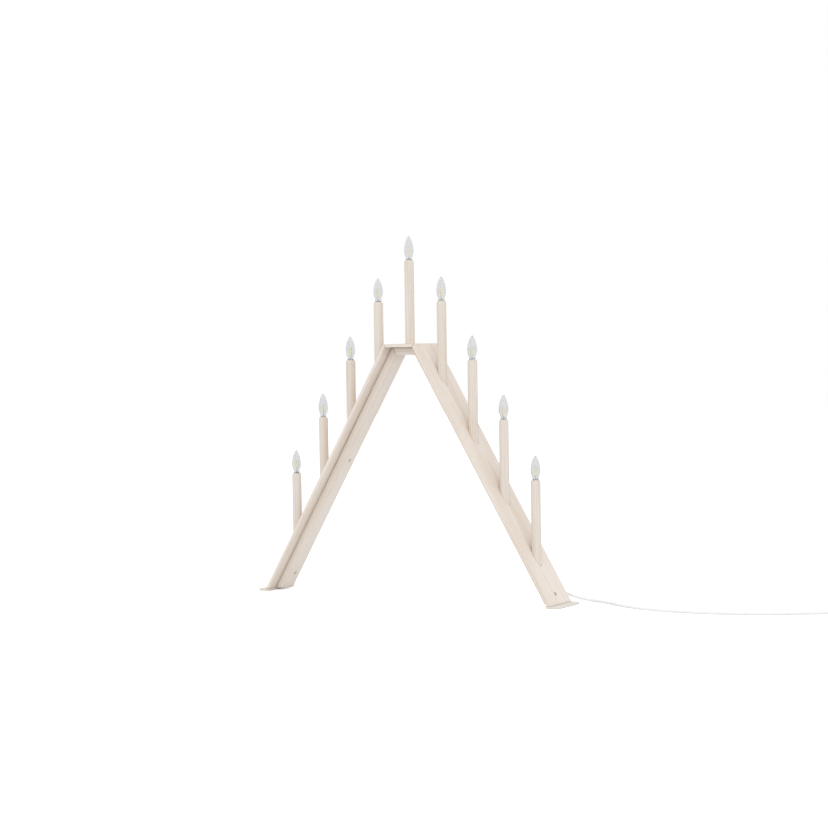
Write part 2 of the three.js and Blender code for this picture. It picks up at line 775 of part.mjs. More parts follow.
// Plug, drawn along +X from the cord's entry and then turned to the tail's heading
const plugOutline = new THREE.Shape();
const bodyStart = cordGap + plugSleeveLength - plugBevel;
const bodyEnd = cordGap + plugSleeveLength + plugBodyLength;
const rear = plugRearWidth / 2 - plugBevel;
const front = plugFrontWidth / 2 - plugBevel;
plugOutline.moveTo(bodyStart, -rear);
plugOutline.quadraticCurveTo(bodyStart + plugBodyLength * plugWaist, -rear,
  bodyStart + plugBodyLength * plugShoulder, -front);
plugOutline.lineTo(bodyEnd - plugBevel, -front);
plugOutline.lineTo(bodyEnd - plugBevel, front);
plugOutline.lineTo(bodyStart + plugBodyLength * plugShoulder, front);
plugOutline.quadraticCurveTo(bodyStart + plugBodyLength * plugWaist, rear, bodyStart, rear);
plugOutline.closePath();
const plugCore = new THREE.ExtrudeGeometry(plugOutline, {
  depth: plugThickness - 2 * plugBevel, bevelThickness: plugBevel, bevelSize: plugBevel,
  bevelSegments: 2, curveSegments: 4,
});
plugCore.translate(0, 0, plugBevel - plugThickness / 2);
const sleeve = turned([
  [0, cordGap], [plugSleeveEntryDiameter / 2, cordGap],
  [plugSleeveRootDiameter / 2, cordGap + plugSleeveLength],
  [0, cordGap + plugSleeveLength],
], roundSides).rotateY(Math.PI / 2);

function pinPlace(sign, clearance) {
  const radius = pinDiameter / 2 + clearance;
  const start = bodyEnd - pinSeat - clearance;
  const end = bodyEnd + (clearance ? pinSeat : pinLength);
  const tip = clearance ? 0 : pinTaper;
  return turned([
    [0, start], [radius, start], [radius, end - tip], [radius - tip, end], [0, end],
  ], roundSides).rotateY(Math.PI / 2).translate(0, sign * pinSpacing / 2, 0);
}

function turnPlug(geometry) {
  return closed(geometry.rotateZ(tailHeading).translate(plugEntry.x, plugEntry.y, plugEntry.z));
}

const plugBody = toManifold(plugCore).add(toManifold(sleeve))
  .subtract(toManifold(pinPlace(-1, seam))).subtract(toManifold(pinPlace(1, seam)));
place('plug_body', turnPlug(toGeometry(plugBody)), materials.cord);
place('plug_pin_1', turnPlug(pinPlace(-1, 0)), materials.steel);
place('plug_pin_2', turnPlug(pinPlace(1, 0)), materials.steel);

export default group;
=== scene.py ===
"""Nine-candle electric window candlestick of whitewashed pine, built round its fixed frame.

The file is laid out as an add-on: settings a user would change, one operator for each kind of
piece, one for the studio, and a panel that lists them. Sizes in the making are millimetres until
a mesh is finished, when it is scaled to metres. The settings and the cord's route are in metres.
"""

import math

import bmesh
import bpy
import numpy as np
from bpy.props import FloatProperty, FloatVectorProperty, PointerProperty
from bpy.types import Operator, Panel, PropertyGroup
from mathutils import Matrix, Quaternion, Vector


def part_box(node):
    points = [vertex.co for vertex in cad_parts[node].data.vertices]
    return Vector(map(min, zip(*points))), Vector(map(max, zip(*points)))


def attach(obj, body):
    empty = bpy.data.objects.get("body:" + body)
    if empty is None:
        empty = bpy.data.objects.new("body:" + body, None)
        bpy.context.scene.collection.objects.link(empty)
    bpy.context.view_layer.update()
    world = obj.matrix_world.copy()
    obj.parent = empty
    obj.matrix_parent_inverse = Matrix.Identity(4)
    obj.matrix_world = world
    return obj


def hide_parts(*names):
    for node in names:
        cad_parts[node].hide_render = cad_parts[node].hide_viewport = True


bl_info = {
    "name": "Window Candlestick",
    "version": (1, 0, 0),
    "blender": (4, 5, 0),
    "location": "View3D > Sidebar > Candlestick",
    "description": "Builds a nine-candle electric window candlestick of whitewashed pine",
    "category": "Object",
}

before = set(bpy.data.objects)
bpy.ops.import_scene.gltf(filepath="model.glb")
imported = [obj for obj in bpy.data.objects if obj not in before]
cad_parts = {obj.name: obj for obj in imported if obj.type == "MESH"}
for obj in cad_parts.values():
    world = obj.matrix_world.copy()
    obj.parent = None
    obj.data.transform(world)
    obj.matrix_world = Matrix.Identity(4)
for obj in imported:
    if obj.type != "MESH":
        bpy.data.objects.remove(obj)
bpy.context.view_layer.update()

MM = 0.001

# Frame of boards, as in the fixed frame
TOP_HEIGHT = 368
TOP_HALF_LENGTH = 25
SLOPE = math.radians(59.5)
RUN = math.cos(SLOPE)
FALL = math.sin(SLOPE)
MITRE = math.tan(SLOPE / 2)
BOARD_DEPTH = 67
BOARD_THICKNESS = 4.5
SEAM = 0.3
MITRE_GAP = 0.35
CHANNEL_WIDTH = 28
CHANNEL_HEIGHT = 11
CHANNEL_TOP = BOARD_THICKNESS + SEAM
CHANNEL_BOTTOM = CHANNEL_TOP + CHANNEL_HEIGHT
GROOVE_WIDTH = 8
GROOVE_DEPTH = 6
REBATE_DEPTH = 1.4
REBATE_START = 11.5
FOOT_THICKNESS = 3
FOOT_OUT = 12
FOOT_IN = 8
FOOT_CORNER = 4
FRAME_BOTTOM = FOOT_THICKNESS + SEAM
FOOT_X = TOP_HALF_LENGTH + TOP_HEIGHT * RUN / FALL

# A start that keeps the painted shade at the mitres off the top
FAR_FROM_MITRE = 1000

# Where in the tree each board was sawn: along, across and through its grain
BOARD_STOCK = {"top": (930, 5, 0), "left": (300, 7, -4), "right": (2400, -7, 4)}
CHANNEL_STOCK = {"top": (400, 9, 11), "left": (1500, 3, 5), "right": (-1800, 9, 5)}
FOOT_STOCK = {"left": (300, 2, 2), "right": (1100, 2, 4)}

# Candle tubes
TUBE_RADIUS = 6.9
TUBE_HOLE_RADIUS = 7.2
TUBE_SHOULDER_RUN = 0.7
TUBE_SHOULDER_DROP = 2.6
TUBE_LENGTH = 140
WIRE_BORE_RADIUS = 3
SOCKET_BORE_RADIUS = 5.9
SOCKET_BORE_DEPTH = 17.2

# Where in the tree the tubes were sawn: between these two places, drawn with this seed
TUBE_STOCK_RANGE = ((0, -14, -6), (4000, 14, 16))
TUBE_SEED = 12

# Steps round a turned piece: wide ones, the gland and what is its size, and slim ones
ROUND_SIDES = 64
GLAND_SIDES = 48
SLIM_SIDES = 32

# Angles between faces: edges over the first are rounded, and edges over the second look sharp
ROUNDED_OVER = math.radians(20)
SHARP_OVER = math.radians(35)

# Socket and bulb, from the tube's top
THREAD_PITCH = 1.81
THREAD_DEPTH = 0.35
SOCKET_INNER_RADIUS = 5.15
SOCKET_RADIUS = 5.6
SOCKET_RIM_RADIUS = 6.15
SOCKET_RIM = (0.3, 0.6)
SOCKET_BOTTOM = -16.9
SOCKET_FLOOR = -14.9
SOCKET_THREAD_LOW = -11.5
CONTACT_RADIUS = 1.6
CONTACT_TOP = -10.7
CAP_RADIUS = 4.75
CAP_TOP = 1.2
CAP_BOTTOM = -10.4
CAP_WALL = 0.45
CUP_FLOOR = -1.8
STEM_RADIUS = 1.4
STEM_TOP = 6.6
FILAMENT_TOP = 19.6
GLASS_OUTLINE = [
    (4.0, -1.2), (4.0, 1.4), (4.5, 1.75), (4.72, 4.6), (6.02, 8.4), (6.86, 12.2),
    (6.98, 15.6), (6.6, 19.6), (5.5, 25.2), (3.64, 30.6), (1.75, 34.1), (0.75, 35.25), (0, 35.5),
]
TIP_START = 29
TIP_LENGTH = GLASS_OUTLINE[-1][1] - TIP_START
TIP_GAIN = 2.2
BULB_SEED = 31

# Screws
SCREW_HEAD_RADIUS = 2.8
SCREW_HEAD_HEIGHT = 1.6
SCREW_SHANK_RADIUS = 1.4
SCREW_PROUD = 0.3
SCREW_CLEARANCE = 0.3
CHANNEL_SCREW_LENGTH = 13.5
UPPER_SCREW_ALONG = 189.8
LOWER_SCREW_HEIGHT = 25.5
FOOT_SCREW_LENGTH = 12
FOOT_SCREW_HEIGHT = 17

# Cord, gland, coil and plug
CORD_RADIUS = 2
CORD_SIDES = 16
GLAND_PLACE = (220.2, 14, 17)
GLAND_HOLE_RADIUS = 3.8
CORD_IN_GLAND = 2.3
CORD_ROUTE = [
    (0.2202, 0.0328, 0.017), (0.2203, 0.0375, 0.0167), (0.2209, 0.0425, 0.0155),
    (0.2228, 0.0472, 0.0133), (0.2264, 0.0512, 0.0108), (0.2318, 0.0542, 0.0082),
    (0.239, 0.0564, 0.0058), (0.248, 0.0582, 0.0039), (0.2585, 0.0592, 0.0026),
    (0.27, 0.0584, 0.0021), (0.282, 0.054, 0.002), (0.295, 0.046, 0.002),
    (0.31, 0.0355, 0.002), (0.329, 0.025, 0.002), (0.352, 0.016, 0.002),
    (0.38, 0.0095, 0.002), (0.412, 0.007, 0.002), (0.448, 0.01, 0.002),
    (0.484, 0.0185, 0.002), (0.52, 0.0325, 0.002), (0.556, 0.051, 0.002),
    (0.59, 0.072, 0.002), (0.616, 0.0887, 0.0023), (0.636, 0.1016, 0.0031),
    (0.643, 0.1061, 0.0031),
]
COIL_PITCH = 4.55
COIL_LAYER_PITCH = 4.6
COIL_LAYERS = 4
COIL_TURNS_PER_LAYER = 2.3354
COIL_INNER_RADIUS = 16.5
COIL_OUTER_RADIUS = COIL_INNER_RADIUS + COIL_PITCH * COIL_TURNS_PER_LAYER
COIL_TURNS = COIL_LAYERS * COIL_TURNS_PER_LAYER
COIL_CLIMB_TURNS = 0.5
COIL_STEPS = 48
COIL_START_GAP = 5.3
COIL_TAIL_REACH = 42
COIL_TAIL_PULL = 20
COIL_TAIL_STEPS = 32
TIE_THICKNESS = 0.8
TIE_WIDTH = 5
TIE_SLACK = 0.5
TIE_ANGLE = math.radians(190)
COIL_BASE = TIE_THICKNESS + SEAM + CORD_RADIUS
PLUG_THICKNESS = 13.6
PLUG_SIDES = 64
PIN_RADIUS = 2
PIN_SPACING = 18.6

# Studio: places and the lamps' size in metres, the sensor and the floor in millimetres, and each
# lamp's share of the side light
VIEW_CENTRE = (0, 0, 0.26)
CAMERA_SHIFT = (0.00327, 0.00531)
SENSOR_WIDTH = 36
LAMP_AIM = (0, 0, 0.25)
LAMP_SIZE = 2.5
LAMPS = (("right_lamp", (1.8, -1.4, 1.9), 1), ("left_lamp", (-1.9, -1.2, 1.8), 0.7))
BRIGHT_SIDE = (0.45, -0.6, 0.55)
FLOOR_RADIUS = 6000
FLOOR_SIDES = 96
FLOOR_LIFT = 0.5
FLOOR_LIFT_IN_GLASS = 0.2

# Pieces that come in rows, with -1 for the left leg, 0 for the top and 1 for the right leg
SIDES = (("left", -1), ("right", 1))
BOARDS = (("top", 0), *SIDES)
CANDLES = ["top"] + [f"{side}_{number}" for side, _ in SIDES for number in range(1, 5)]


def colour_setting(name, description, default):
    """A colour that a user would change"""
    return FloatVectorProperty(name=name, description=description, subtype="COLOR", size=3,
                               min=0, max=1, default=default)


def length_setting(name, description, default, least, most):
    """A length in metres that a user would change"""
    return FloatProperty(name=name, description=description, subtype="DISTANCE", unit="LENGTH",
                         precision=5, default=default, min=least, max=most)


def angle_setting(name, description, degrees):
    """An angle that a user would change"""
    return FloatProperty(name=name, description=description, subtype="ANGLE",
                         default=math.radians(degrees))


def strength_setting(name, description, default, most):
    """A strength or share that a user would change"""
    return FloatProperty(name=name, description=description, default=default, min=0, max=most)


class WoodSettings(PropertyGroup):
    """Finish of the boards and the candle tubes"""
    wash: colour_setting("Whitewash", "Thin whitewash on the boards", (0.885, 0.825, 0.77))
    tube_wash: colour_setting("Tube whitewash", "Thin whitewash on the candle tubes",
                              (0.82, 0.775, 0.73))
    foot_wash: colour_setting("Foot whitewash", "Thicker whitewash on the foot plates",
                              (0.82, 0.795, 0.76))
    bare: colour_setting("Bare pine", "Pine where the whitewash is worn thin", (0.66, 0.5, 0.35))
    ring_spacing: length_setting("Ring spacing", "Distance between two growth rings",
                                 0.0031, 0.001, 0.01)
    # Painted shade: this darker tone is mixed into the wash towards the corners between boards and
    # channels and towards the mitres, where shade falls
    corner: colour_setting("Corner tone", "Wash in the corners that a brush doesn't reach",
                           (0.5, 0.42, 0.33))
    edge_round: length_setting("Edge rounding", "Radius of the boards' sanded edges",
                               0.0007, 0.0002, 0.002)
    under_round: length_setting("Lower edge rounding", "Radius of the boards' lower long edges",
                                0.0017, 0.0008, 0.003)


class BulbSettings(PropertyGroup):
    """Finish of the bulbs and their sockets"""
    glass: colour_setting("Glass", "Tint of the clear glass", (0.835, 0.838, 0.845))
    glass_edge: colour_setting("Glass edge", "Tint of the glass seen on edge", (0.42, 0.43, 0.46))
    glass_wall: length_setting("Glass wall", "Thickness of the bulb's glass", 0.0006, 0.0003, 0.001)
    filament: colour_setting("LED filament", "Phosphor coat of the LED filament",
                             (0.96, 0.87, 0.55))
    # Painted glow: the filament's coat gives out light of its own colour though the bulb is unlit,
    # so that it looks brighter behind the glass
    painted_filament_glow: strength_setting("Phosphor", "How much the filament's coat shines back in daylight",
                               0.2, 10)
    cap: colour_setting("Screw cap", "Plated brass of the screw cap", (0.9, 0.85, 0.75))
    socket: colour_setting("Socket", "Moulded socket in the tube", (0.82, 0.79, 0.74))


class CordSettings(PropertyGroup):
    """Finish of the cord, the plug, the wiring and the screws"""
    sheath: colour_setting("Sheath", "White sheath of the cord", (0.94, 0.94, 0.935))
    plug: colour_setting("Plug", "White moulded plug", (0.88, 0.88, 0.865))
    pin: colour_setting("Pins", "Nickel-plated pins", (0.72, 0.7, 0.66))
    screw: colour_setting("Screws", "Zinc-plated steel of the screws", (0.6, 0.54, 0.43))


class StudioSettings(PropertyGroup):
    """Camera, lamps and floor"""
    azimuth: angle_setting("Azimuth", "Camera's turn from the front towards +X", 31.41)
    elevation: angle_setting("Elevation", "Camera's height above the horizon", 2.66)
    distance: length_setting("Distance", "From the camera to the middle of the lamp", 3.164, 1, 10)
    roll: angle_setting("Roll", "Turn of the camera about its view", -0.86)
    lens: FloatProperty(name="Lens", description="Focal length on a 36 mm sensor, in millimetres",
                        subtype="DISTANCE_CAMERA", default=94.96, min=20, max=300)
    room_light: strength_setting("Room light", "Strength of the even light all round", 0.775, 3)
    room_slope: strength_setting("Room slope", "Share that the room light gains towards its "
                                 "bright side", 0.45, 1)
    side_light: strength_setting("Side light", "Power of a side lamp, in watts", 7, 500)
    floor: colour_setting("Floor", "Plain white floor", (0.86, 0.86, 0.86))


def curve_through(points, steps):
    """A smooth centripetal curve through points, with this many steps from each to the next"""
    points = [Vector(point) for point in points]
    line = [2 * points[0] - points[1], *points, 2 * points[-1] - points[-2]]
    found = []
    for before, start, end, after in zip(line, line[1:], line[2:], line[3:]):
        a, b, c = (math.sqrt(max((q - p).length, 1e-9))
                   for p, q in ((before, start), (start, end), (end, after)))
        leave = ((start - before) / a - (end - before) / (a + b) + (end - start) / b) * b
        arrive = ((end - start) / b - (after - start) / (b + c) + (after - end) / c) * b
        for step in range(steps):
            t = step / steps
            found.append((2 * t**3 - 3 * t**2 + 1) * start + (t**3 - 2 * t**2 + t) * leave
                         + (3 * t**2 - 2 * t**3) * end + (t**3 - t**2) * arrive)
    return [*found, points[-1]]


def arc(centre, radius, start, end, steps):
    """Points of an arc in a plane, from one angle to another in degrees"""
    angles = [math.radians(start + (end - start) * step / steps) for step in range(steps + 1)]
    return [(centre[0] + radius * math.cos(a), centre[1] + radius * math.sin(a)) for a in angles]


def circle(radius, sides):
    """Points of a circle about the origin"""
    return arc((0, 0), radius, 0, 360 * (1 - 1 / sides), sides - 1)


def oval(wide, high, sides, wide_power, high_power):
    """Points of an oval about the origin, squarer where the powers are below 1"""
    found = []
    for side in range(sides):
        turn = 2 * math.pi * side / sides
        c, s = math.cos(turn), math.sin(turn)
        found.append((wide * math.copysign(abs(c)**wide_power, c),
                      high * math.copysign(abs(s)**high_power, s)))
    return found


def turned(profile, sides=ROUND_SIDES, swell=None):
    """A solid of revolution about Z from (radius, z) points; a radius of 0 closes to a point.
    swell(radius, z, turn) may change a radius round the turn."""
    bm = bmesh.new()
    rings = []
    for radius, z in profile:
        if radius < 1e-6:
            rings.append([bm.verts.new((0, 0, z))])
            continue
        ring = []
        for side in range(sides):
            turn = 2 * math.pi * side / sides
            reach = swell(radius, z, turn) if swell else radius
            ring.append(bm.verts.new((reach * math.cos(turn), reach * math.sin(turn), z)))
        rings.append(ring)
    for lower, upper in zip(rings, rings[1:]):
        for side in range(0 if len(lower) == len(upper) == 1 else sides):
            ends = (side, (side + 1) % sides)
            corners = [lower[i % len(lower)] for i in ends]
            corners += [upper[i % len(upper)] for i in reversed(ends)]
            bm.faces.new(list(dict.fromkeys(corners)))
    bmesh.ops.remove_doubles(bm, verts=bm.verts, dist=1e-4)
    bmesh.ops.recalc_face_normals(bm, faces=bm.faces)
    return bm


def thread(crest, low, high):
    """A swell that cuts a right-hand thread into this radius between two heights"""
    def swell(radius, z, turn):
        if abs(radius - crest) > 1e-6:
            return radius
        fade = min(1, max(0, min(z - low, high - z) / (THREAD_PITCH / 2)))
        wave = 0.5 - 0.5 * math.cos(2 * math.pi * z / THREAD_PITCH - turn)
        return radius - THREAD_DEPTH * wave * fade
    return swell


def thread_rows(radius, low, high):
    """Profile points at one radius, close enough together to show the thread"""
    count = round((high - low) / THREAD_PITCH * 8)
    return [(radius, low + (high - low) * row / count) for row in range(count + 1)]


def loft(rings):
    """A closed solid through rings of points, each ring with the same number of them"""
    bm = bmesh.new()
    rings = [[bm.verts.new(point) for point in ring] for ring in rings]
    for lower, upper in zip(rings, rings[1:]):
        for i in range(len(lower)):
            beside = (i + 1) % len(lower)
            bm.faces.new((lower[i], lower[beside], upper[beside], upper[i]))
    bm.faces.new(rings[0])
    bm.faces.new(rings[-1])
    bmesh.ops.recalc_face_normals(bm, faces=bm.faces)
    return bm


def prism(outline, low, high, lift):
    """A flat outline made thick from low to high, where lift(u, v, w) is a corner's place"""
    return loft([[lift(u, v, w) for u, v in outline] for w in (low, high)])


def slab(outline, width):
    """An outline of (x, z) points, as thick along Y as width, centred on the plane y = 0"""
    return prism(outline, -width / 2, width / 2, lambda x, z, y: (x, y, z))


def ease_under(bm, radius):
    """Rounds a slab's two lower long edges, from the third to the last point of its outline"""
    bm.verts.ensure_lookup_table()
    long_edges = [bm.edges.get((bm.verts[first], bm.verts[first + 1])) for first in (2, 6)]
    bmesh.ops.bevel(bm, geom=long_edges, offset=radius, offset_type="OFFSET", segments=6,
                    profile=0.5, affect="EDGES")
    return bm


def round_edges(bm, radius, segments=4):
    """Rounds every sharp edge and marks the rounding as worn"""
    worn = bm.verts.layers.float.new("worn")
    sharp = [edge for edge in bm.edges if edge.calc_face_angle(0) > ROUNDED_OVER]
    made = bmesh.ops.bevel(bm, geom=sharp, offset=radius, offset_type="OFFSET",
                           segments=segments, profile=0.5, affect="EDGES", clamp_overlap=True)
    rounding = set(made["faces"])
    for vert in bm.verts:
        vert[worn] = float(all(face in rounding for face in vert.link_faces))
    return bm


def sweep(path, section, up=Vector((0, 0, 1))):
    """A closed tube of this section, as (across, over) points, along a path of points"""
    rings = []
    for row, point in enumerate(path):
        ahead = (path[min(row + 1, len(path) - 1)] - path[max(row - 1, 0)]).normalized()
        across = ahead.cross(up).normalized()
        over = across.cross(ahead)
        rings.append([point + a * across + o * over for a, o in section])
    return loft(rings)


def joined(*parts):
    """One bmesh from pairs of a bmesh, which is freed, and its material's number"""
    bm = bmesh.new()
    for part, number in parts:
        for face in part.faces:
            face.material_index = number
        loose = bpy.data.meshes.new("part")
        part.to_mesh(loose)
        part.free()
        bm.from_mesh(loose)
        bpy.data.meshes.remove(loose)
    return bm


def moved(bm, place, turn=0, axis="Z"):
    """A bmesh turned about an axis through the origin and then moved to its place"""
    bm.transform(Matrix.Translation(place) @ Matrix.Rotation(turn, 4, axis))
    return bm


def apply_modifiers(obj):
    """Replaces an object's mesh by what its modifiers make of it"""
    graph = bpy.context.evaluated_depsgraph_get()
    made = bpy.data.meshes.new_from_object(obj.evaluated_get(graph),
                                           preserve_all_data_layers=True, depsgraph=graph)
    old = obj.data
    obj.modifiers.clear()
    obj.data = made
    made.name = obj.name
    bpy.data.meshes.remove(old)


def mesh_object(name, bm):
    """A new object in the scene from a bmesh in millimetres, which is freed"""
    bmesh.ops.scale(bm, vec=(MM, MM, MM), verts=bm.verts)
    for face in bm.faces:
        face.smooth = True
    mesh = bpy.data.meshes.new(name)
    bm.to_mesh(mesh)
    bm.free()
    obj = bpy.data.objects.new(name, mesh)
    bpy.context.scene.collection.objects.link(obj)
    return obj


def cut(obj, cutters):
    """Cuts these bmeshes out of an object, and frees them"""
    tools = [mesh_object(f"{obj.name}_cutter_{i}", bm) for i, bm in enumerate(cutters)]
    for tool in tools:
        step = obj.modifiers.new("cut", "BOOLEAN")
        step.operation = "DIFFERENCE"
        step.solver = "EXACT"
        step.object = tool
    apply_modifiers(obj)
    for tool in tools:
        mesh = tool.data
        bpy.data.objects.remove(tool)
        bpy.data.meshes.remove(mesh)


def shade(obj):
    """Smooth shading with flat faces kept flat and corners kept sharp, once the points that a cut
    left on each other are joined"""
    bm = bmesh.new()
    bm.from_mesh(obj.data)
    bmesh.ops.remove_doubles(bm, verts=bm.verts, dist=1e-7)
    for edge in bm.edges:
        edge.smooth = edge.calc_face_angle(0) < SHARP_OVER
    bm.to_mesh(obj.data)
    bm.free()
    even = obj.modifiers.new("even", "WEIGHTED_NORMAL")
    even.keep_sharp = True
    apply_modifiers(obj)


def piece(name, bm, materials, nodes=(), body="frame", cutters=()):
    """A finished piece that rides on a body and stands for these nodes of the frame"""
    obj = mesh_object(name, bm)
    if cutters:
        cut(obj, cutters)
    shade(obj)
    for material in materials:
        obj.data.materials.append(material)
    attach(obj, body)
    if nodes:
        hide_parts(*nodes)
    return obj


def lay_grain(obj, axes, origin, shift, start=0):
    """Gives each point its place in the wood it was cut from: along, across and through the
    grain, in metres. axes are those three directions, and shift is where in the tree it was.
    Its place in the piece itself is kept too, counted along the grain from start."""
    mesh = obj.data
    places = np.empty(len(mesh.vertices) * 3, np.float32)
    mesh.vertices.foreach_get("co", places)
    origin, shift, start = (np.array(value, np.float32) * MM
                            for value in (origin, shift, (start, 0, 0)))
    places = (places.reshape(-1, 3) - origin) @ np.array(axes, np.float32).T
    for name, values in (("grain", places + shift), ("section", places + start)):
        made = mesh.attributes.new(name, "FLOAT_VECTOR", "POINT")
        made.data.foreach_set("vector", values.ravel())
    if "worn" not in mesh.attributes:
        mesh.attributes.new("worn", "FLOAT", "POINT")


def feed(made, inputs):
    """Gives a node's inputs, by name or number, a value or a link from another socket"""
    for name, value in inputs.items():
        if isinstance(value, bpy.types.NodeSocket):
            made.id_data.links.new(value, made.inputs[name])
        else:
            made.inputs[name].default_value = value


def node(tree, kind, inputs=None, **settings):
    """A new node with these settings, fed with these inputs"""
    made = tree.nodes.new(kind)
    made.location = (200 * len(tree.nodes), 0)
    for name, value in settings.items():
        setattr(made, name, value)
    feed(made, inputs or {})
    return made


def maths(tree, operation, *values):
    """The result of a Math node"""
    return node(tree, "ShaderNodeMath", dict(enumerate(values)), operation=operation).outputs[0]


def total(tree, *terms):
    """The sum of (value, weight) pairs, each value times its weight"""
    first, *others = terms
    found = maths(tree, "MULTIPLY", *first)
    for value, weight in others:
        found = maths(tree, "MULTIPLY_ADD", value, weight, found)
    return found


def hypotenuse(tree, first, second):
    """The length over two values at right angles"""
    return maths(tree, "SQRT", total(tree, (first, first), (second, second)))


def parted(tree, place):
    """The three numbers of a vector"""
    return node(tree, "ShaderNodeSeparateXYZ", {0: place}).outputs


def mixed(tree, share, first, second):
    """A colour between two others"""
    return node(tree, "ShaderNodeMix", {"Factor": share, 6: first, 7: second},
                data_type="RGBA").outputs[2]


def noise(tree, place, stretch, detail=2, roughness=0.5):
    """Noise with about this many spots a metre along each axis"""
    spread = node(tree, "ShaderNodeVectorMath", {0: place, 1: stretch}, operation="MULTIPLY")
    return node(tree, "ShaderNodeTexNoise", {
        "Vector": spread.outputs[0], "Scale": 1, "Detail": detail, "Roughness": roughness,
    }).outputs[0]


def between(tree, value, low, high, to_low=0, to_high=1):
    """A value eased from one range to another and held there"""
    return node(tree, "ShaderNodeMapRange", {
        "Value": value, "From Min": low, "From Max": high, "To Min": to_low, "To Max": to_high,
    }, interpolation_type="SMOOTHSTEP").outputs[0]


def new_group(name, inputs, outputs):
    """An empty shader node group; inputs are (name, kind, default) and outputs (name, kind)"""
    tree = bpy.data.node_groups.new(name, "ShaderNodeTree")
    for title, kind, default in inputs:
        socket = tree.interface.new_socket(title, in_out="INPUT", socket_type=f"NodeSocket{kind}")
        if default is not None:
            socket.default_value = default
    for title, kind in outputs:
        tree.interface.new_socket(title, in_out="OUTPUT", socket_type=f"NodeSocket{kind}")
    return tree, node(tree, "NodeGroupInput").outputs


def pine_figure():
    """Growth rings, fibres and cloudy patches of pine, from a place in the tree"""
    tree, given = new_group("Pine figure", [
        ("Place", "Vector", None), ("Ring Spacing", "Float", 0.003), ("Pith Depth", "Float", 0.05),
        ("Drift", "Float", 0.006),
    ], [("Rings", "Float"), ("Fibres", "Float"), ("Clouds", "Float")])
    place = given["Place"]
    _, across, through = parted(tree, place)
    reach = hypotenuse(tree, maths(tree, "ADD", through, given["Pith Depth"]), across)
    bend = maths(tree, "SUBTRACT", noise(tree, place, (2.2, 9, 9), 1, 0.4), 0.5)
    wandered = maths(tree, "MULTIPLY_ADD", bend, given["Drift"], reach)
    season = maths(tree, "FRACT", maths(tree, "DIVIDE", wandered, given["Ring Spacing"]))
    late = maths(tree, "MULTIPLY", between(tree, season, 0.35, 0.9),
                 between(tree, season, 0.93, 1, 1, 0))
    strength = between(tree, noise(tree, place, (1.5, 60, 60), 1), 0.3, 0.7, 0.45, 1)
    node(tree, "NodeGroupOutput", {
        "Rings": maths(tree, "MULTIPLY", late, strength),
        "Fibres": noise(tree, place, (26, 900, 900), 3, 0.6),
        "Clouds": noise(tree, place, (7, 42, 42), 2, 0.5),
    })
    return tree


def whitewash():
    """Thin white stain over pine, thinner over the hard rings and where hands wear it, and darkened
    towards the corners by a painted shade
    """
    tree, given = new_group("Whitewash", [
        ("Wash", "Color", (0.8, 0.75, 0.7, 1)), ("Bare", "Color", (0.6, 0.4, 0.25, 1)),
        ("Rings", "Float", 0), ("Fibres", "Float", 0.5), ("Clouds", "Float", 0.5),
        ("Worn", "Float", 0), ("Show Through", "Float", 0.3),
        ("Corner Tone", "Color", (0.5, 0.42, 0.33, 1)), ("Corner", "Float", 0),
    ], [("Color", "Color"), ("Roughness", "Float"), ("Height", "Float")])
    patch = between(tree, given["Clouds"], 0.32, 0.68)
    streak = between(tree, given["Fibres"], 0.3, 0.72)
    thin = total(tree, (given["Rings"], 0.62), (streak, 0.34), (patch, 0.3))
    thin = maths(tree, "MULTIPLY", thin, given["Show Through"])
    rubbed = maths(tree, "MULTIPLY", given["Worn"],
                   between(tree, given["Clouds"], 0.35, 0.6, 0.1, 0.5))
    shown = node(tree, "ShaderNodeMath", {0: thin, 1: rubbed}, operation="ADD", use_clamp=True)
    colour = mixed(tree, shown.outputs[0], given["Wash"], given["Bare"])
    node(tree, "NodeGroupOutput", {
        # Painted shade: the colour is darkened towards the inner corners and the mitres by the
        # corner mask
        "Color": mixed(tree, given["Corner"], colour, given["Corner Tone"]),
        "Roughness": maths(tree, "MULTIPLY_ADD", streak, 0.16, 0.5),
        "Height": total(tree, (given["Rings"], 0.55), (streak, -0.45)),
    })
    return tree


def moulded_surface():
    """Slight mottling and fine texture of moulded plastic"""
    tree, given = new_group("Moulded surface", [
        ("Place", "Vector", None), ("Color", "Color", (0.8, 0.8, 0.8, 1)),
        ("Gloss Roughness", "Float", 0.35), ("Dust", "Float", 0.1),
    ], [("Color", "Color"), ("Roughness", "Float"), ("Height", "Float")])
    broad = noise(tree, given["Place"], (55, 55, 55), 2, 0.5)
    dust = maths(tree, "MULTIPLY", between(tree, broad, 0.35, 0.7), given["Dust"])
    node(tree, "NodeGroupOutput", {
        "Color": mixed(tree, dust, given["Color"], (0.62, 0.6, 0.56, 1)),
        "Roughness": maths(tree, "MULTIPLY_ADD", broad, 0.14, given["Gloss Roughness"]),
        "Height": noise(tree, given["Place"], (1400, 1400, 1400), 2, 0.6),
    })
    return tree


def metal_surface():
    """Tarnish and fine scratches of plated or plain metal"""
    tree, given = new_group("Metal surface", [
        ("Place", "Vector", None), ("Color", "Color", (0.7, 0.7, 0.7, 1)),
        ("Tarnish", "Color", (0.3, 0.28, 0.25, 1)), ("Gloss Roughness", "Float", 0.22),
    ], [("Color", "Color"), ("Roughness", "Float"), ("Height", "Float")])
    broad = noise(tree, given["Place"], (160, 160, 160), 3, 0.6)
    stain = between(tree, broad, 0.45, 0.75, 0, 0.45)
    node(tree, "NodeGroupOutput", {
        "Color": mixed(tree, stain, given["Color"], given["Tarnish"]),
        "Roughness": maths(tree, "MULTIPLY_ADD", stain, 0.5, given["Gloss Roughness"]),
        "Height": noise(tree, given["Place"], (2600, 2600, 500), 2, 0.5),
    })
    return tree


